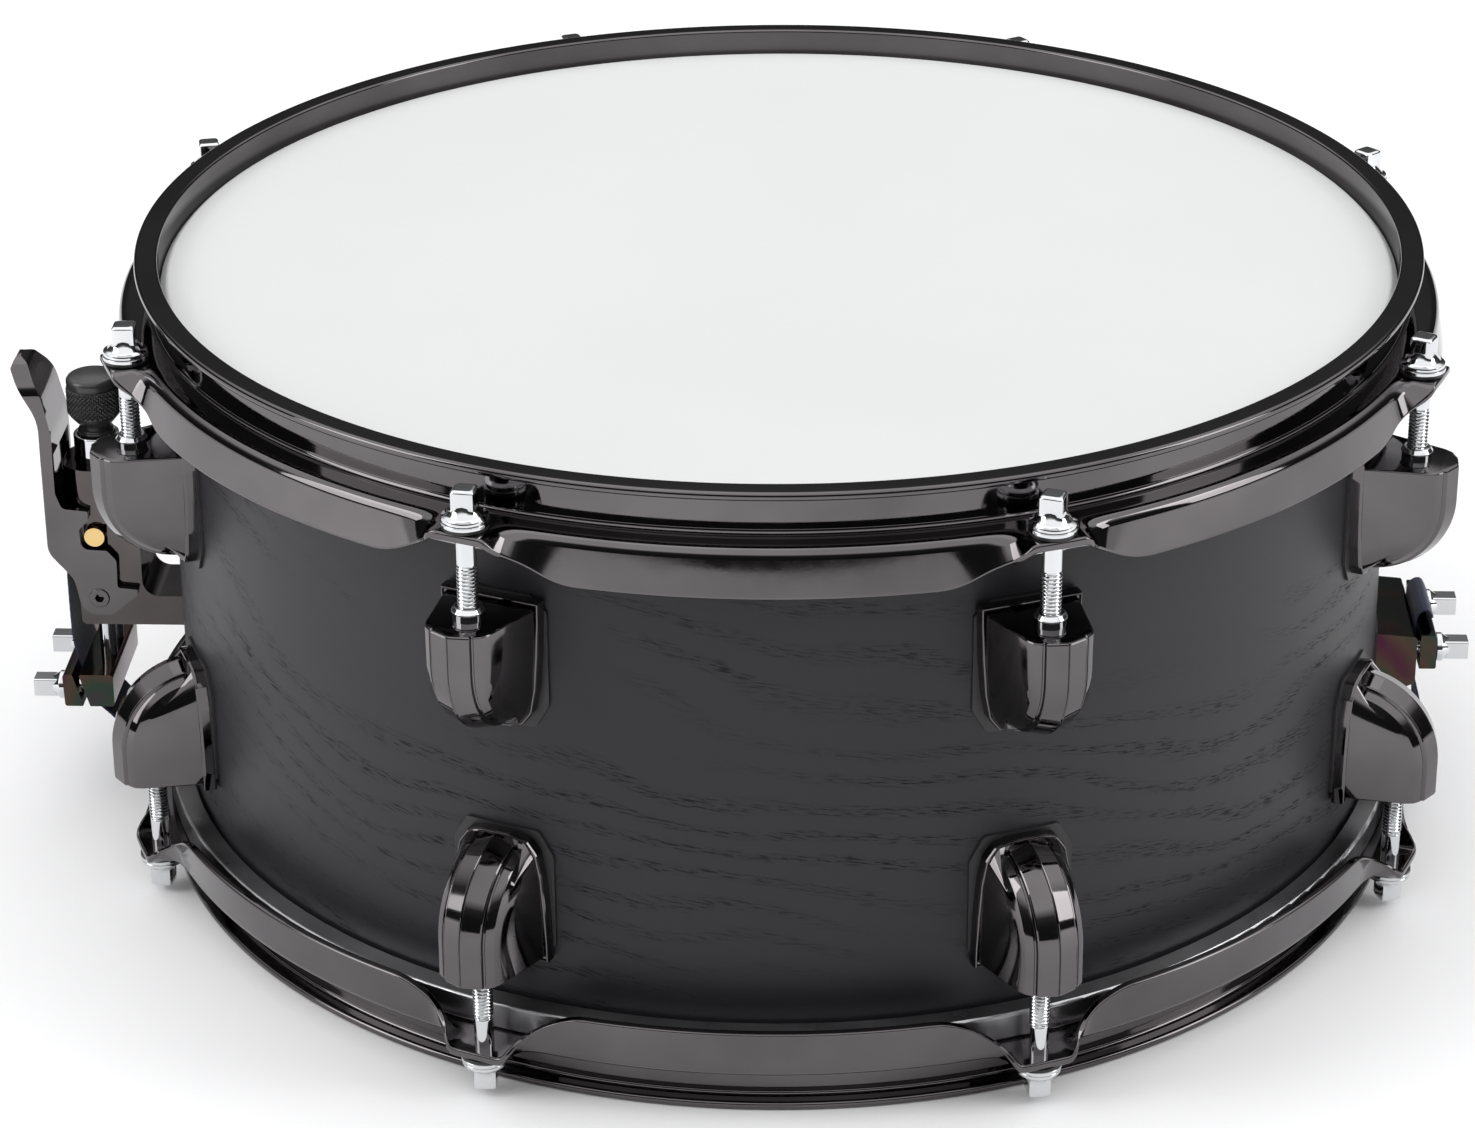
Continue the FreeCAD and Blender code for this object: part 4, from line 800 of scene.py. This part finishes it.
def make_ribbon(node, path, side):
    """A ribbed strip along a path in (radius, height); side is +1 at +X."""
    half_width, thick, pitch = 11.0, 0.9, 0.95
    centre = smooth_path(path, pitch / 4)
    section = []
    for k in range(9):
        section.append((-half_width + 2 * half_width * k / 8, 0.5))
    for k in range(9):
        section.append((half_width - 2 * half_width * k / 8, -0.5))
    points = []
    for i, here in enumerate(centre):
        ahead = centre[min(i + 1, len(centre) - 1)]
        behind = centre[max(i - 1, 0)]
        run = (ahead - behind).normalized()
        normal = Vector((-run.y, run.x))
        rib = 1.0 - 0.16 * (1 - abs(math.cos(math.pi * i / 4)))
        for across, level in section:
            slim = 0.72 if abs(across) > half_width - 0.1 else 1.0
            spot = here + normal * level * thick * rib * slim
            points.append((spot.x * side, across, spot.y))
    faces = tube_faces(len(centre), len(section), capped=True)
    if side < 0:
        faces = [face[::-1] for face in faces]
    mesh = mesh_of(node, points, faces)
    mesh.set_sharp_from_angle(angle=math.radians(60))
    add_piece(f"{node}_ribbed", mesh, "ribbon_fabric", body_name(node), [node])


make_coils()
GATE_PATH = [(151.2, 5.0), (165.0, 5.1), (180.0, 5.3), (186.0, 8.2)]
make_ribbon("butt_ribbon", GATE_PATH + [
    (191.0, 11.6), (193.0, 17.0), (192.6, 30.0), (189.6, 43.0), (189.55, 52.0), (189.6, 60.4),
    (190.9, 63.0), (193.0, 63.3), (194.4, 61.0),
], 1)
make_ribbon("strainer_ribbon", GATE_PATH + [
    (191.6, 10.6), (195.8, 14.9), (202.0, 22.8), (207.6, 29.5), (210.9, 41.2), (212.3, 48.0),
    (212.6, 56.0), (212.6, 71.0),
], -1)


# ---------------------------------------------------------------- rounded CAD pieces
for node, width, skin in (
    ("strainer_base", 0.5, "black_metal"),
    ("strainer_lever", 0.5, "black_nickel"),
    ("strainer_clamp_block", 0.4, "tinted_nickel"),
    ("strainer_clamp_plate", 0.4, "tinted_nickel"),
    ("butt_block", 0.4, "tinted_nickel"),
    ("butt_clamp_plate", 0.4, "tinted_nickel"),
    ("strainer_slider", 0.3, "black_metal"),
):
    rounded(node, width, skin)


# ---------------------------------------------------------------- carried-over CAD nodes
CARRIED = {
    "shell": "shell_finish",
    "vent_eyelet": "chrome",
    "vent_ring": "chrome",
    "batter_head_film": "coated_film",
    "batter_head_ring": "flesh_hoop",
    "snare_head_film": "clear_film",
    "snare_head_ring": "flesh_hoop",
    "lug_gaskets": "black_plastic",
    "lug_inserts": "chrome",
    "lug_screws": "plain_steel",
    "lug_screw_washers": "plain_steel",
    "bracket_screws": "plain_steel",
    "nylon_washers": "black_plastic",
    "rod_washers": "chrome",
    "strainer_cross_pin": "brass_pin",
    "strainer_sleeve": "chrome",
    "strainer_pivot_screws": "black_nickel",
    "strainer_clamp_screws": "chrome",
    "strainer_guide_rods": "chrome",
    "strainer_gasket": "black_plastic",
    "butt_clamp_screws": "chrome",
    "butt_gasket": "black_plastic",
    "snare_end_plates": "plain_steel",
}
for node, skin in CARRIED.items():
    mesh = frame["nodes"][node].data
    mesh.materials.clear()
    mesh.materials.append(SKINS[skin])


# ---------------------------------------------------------------- stage, lights and camera
def make_stage():
    """A pale floor that runs out of sight."""
    size, front = 9.0, -1.7
    corners = [(-size, front, 0), (size, front, 0), (size, size, 0), (-size, size, 0)]
    mesh = bpy.data.meshes.new("floor")
    mesh.from_pydata(corners, [], [(0, 1, 2, 3)])
    skin = new_skin("floor", (0.93, 0.93, 0.935), Roughness=0.6, Specular_IOR_Level=0.2)
    place = local_coords(skin)
    drive(skin, "Base Color", ramp(skin, noise(skin, place, 1.5), [
        (0.3, (0.975, 0.975, 0.978)),
        (0.7, (0.985, 0.985, 0.987)),
    ]))
    mesh.materials.append(skin)
    floor = bpy.data.objects.new("floor", mesh)
    bpy.context.scene.collection.objects.link(floor)
    floor.location.z = cad_low.z - 0.0002


def make_world():
    """Soft white studio: bright overhead, dimmer towards the horizon."""
    world = bpy.data.worlds.new("studio")
    world.use_nodes = True
    nodes, links = world.node_tree.nodes, world.node_tree.links
    place = nodes.new("ShaderNodeTexCoord")
    parts = nodes.new("ShaderNodeSeparateXYZ")
    links.new(place.outputs["Generated"], parts.inputs[0])
    shade = nodes.new("ShaderNodeValToRGB")
    elements = shade.color_ramp.elements
    stops = [(0.0, 0.03), (0.28, 0.04), (0.44, 0.10), (0.60, 1.0)]
    while len(elements) < len(stops):
        elements.new(0.5)
    for element, (position, value) in zip(elements, stops):
        element.position = position
        element.color = (value, value, value * 1.01, 1.0)
    links.new(parts.outputs["Z"], shade.inputs["Fac"])
    background = nodes["Background"]
    links.new(shade.outputs["Color"], background.inputs["Color"])
    background.inputs["Strength"].default_value = 1.3
    bpy.context.scene.world = world


def add_softbox(name, place, target, size, power):
    """A rectangular area light that faces its target."""
    light = bpy.data.lights.new(name, "AREA")
    light.shape = "RECTANGLE"
    light.size, light.size_y = size
    light.energy = power
    lamp = bpy.data.objects.new(name, light)
    lamp.location = place
    lamp.rotation_euler = (Vector(target) - Vector(place)).to_track_quat("-Z", "Y").to_euler()
    bpy.context.scene.collection.objects.link(lamp)


def make_camera():
    """The viewpoint: a little right of centre, looking down at the drum's front."""
    turn, tilt, roll = math.radians(1.714), math.radians(23.833), math.radians(-0.151)
    look = Vector((-math.sin(turn) * math.cos(tilt), math.cos(turn) * math.cos(tilt), -math.sin(tilt)))
    right = look.cross(Vector((0, 0, 1))).normalized()
    up = right.cross(look)
    across = right * math.cos(roll) + up * math.sin(roll)
    upright = up * math.cos(roll) - right * math.sin(roll)
    data = bpy.data.cameras.new("camera")
    data.sensor_width = 36.0
    data.lens = 97.8
    data.shift_x = -0.0285
    data.shift_y = -0.0994
    camera = bpy.data.objects.new("camera", data)
    basis = Matrix((across, upright, -look)).transposed()
    camera.matrix_world = Matrix.Translation((0.0324, -1.0813, 0.5972)) @ basis.to_4x4()
    bpy.context.scene.collection.objects.link(camera)
    bpy.context.scene.camera = camera


make_stage()
make_world()
add_softbox("left_box", (-1.5, -0.55, 0.85), (0, 0, 0.08), (0.8, 1.2), 11.0)
add_softbox("right_box", (1.55, -0.35, 0.8), (0, 0, 0.08), (0.6, 1.1), 9.0)
add_softbox("top_box", (0.0, 0.4, 1.9), (0, 0, 0.1), (1.8, 1.4), 3.0)
make_camera()
bpy.context.scene.view_settings.view_transform = "Standard"
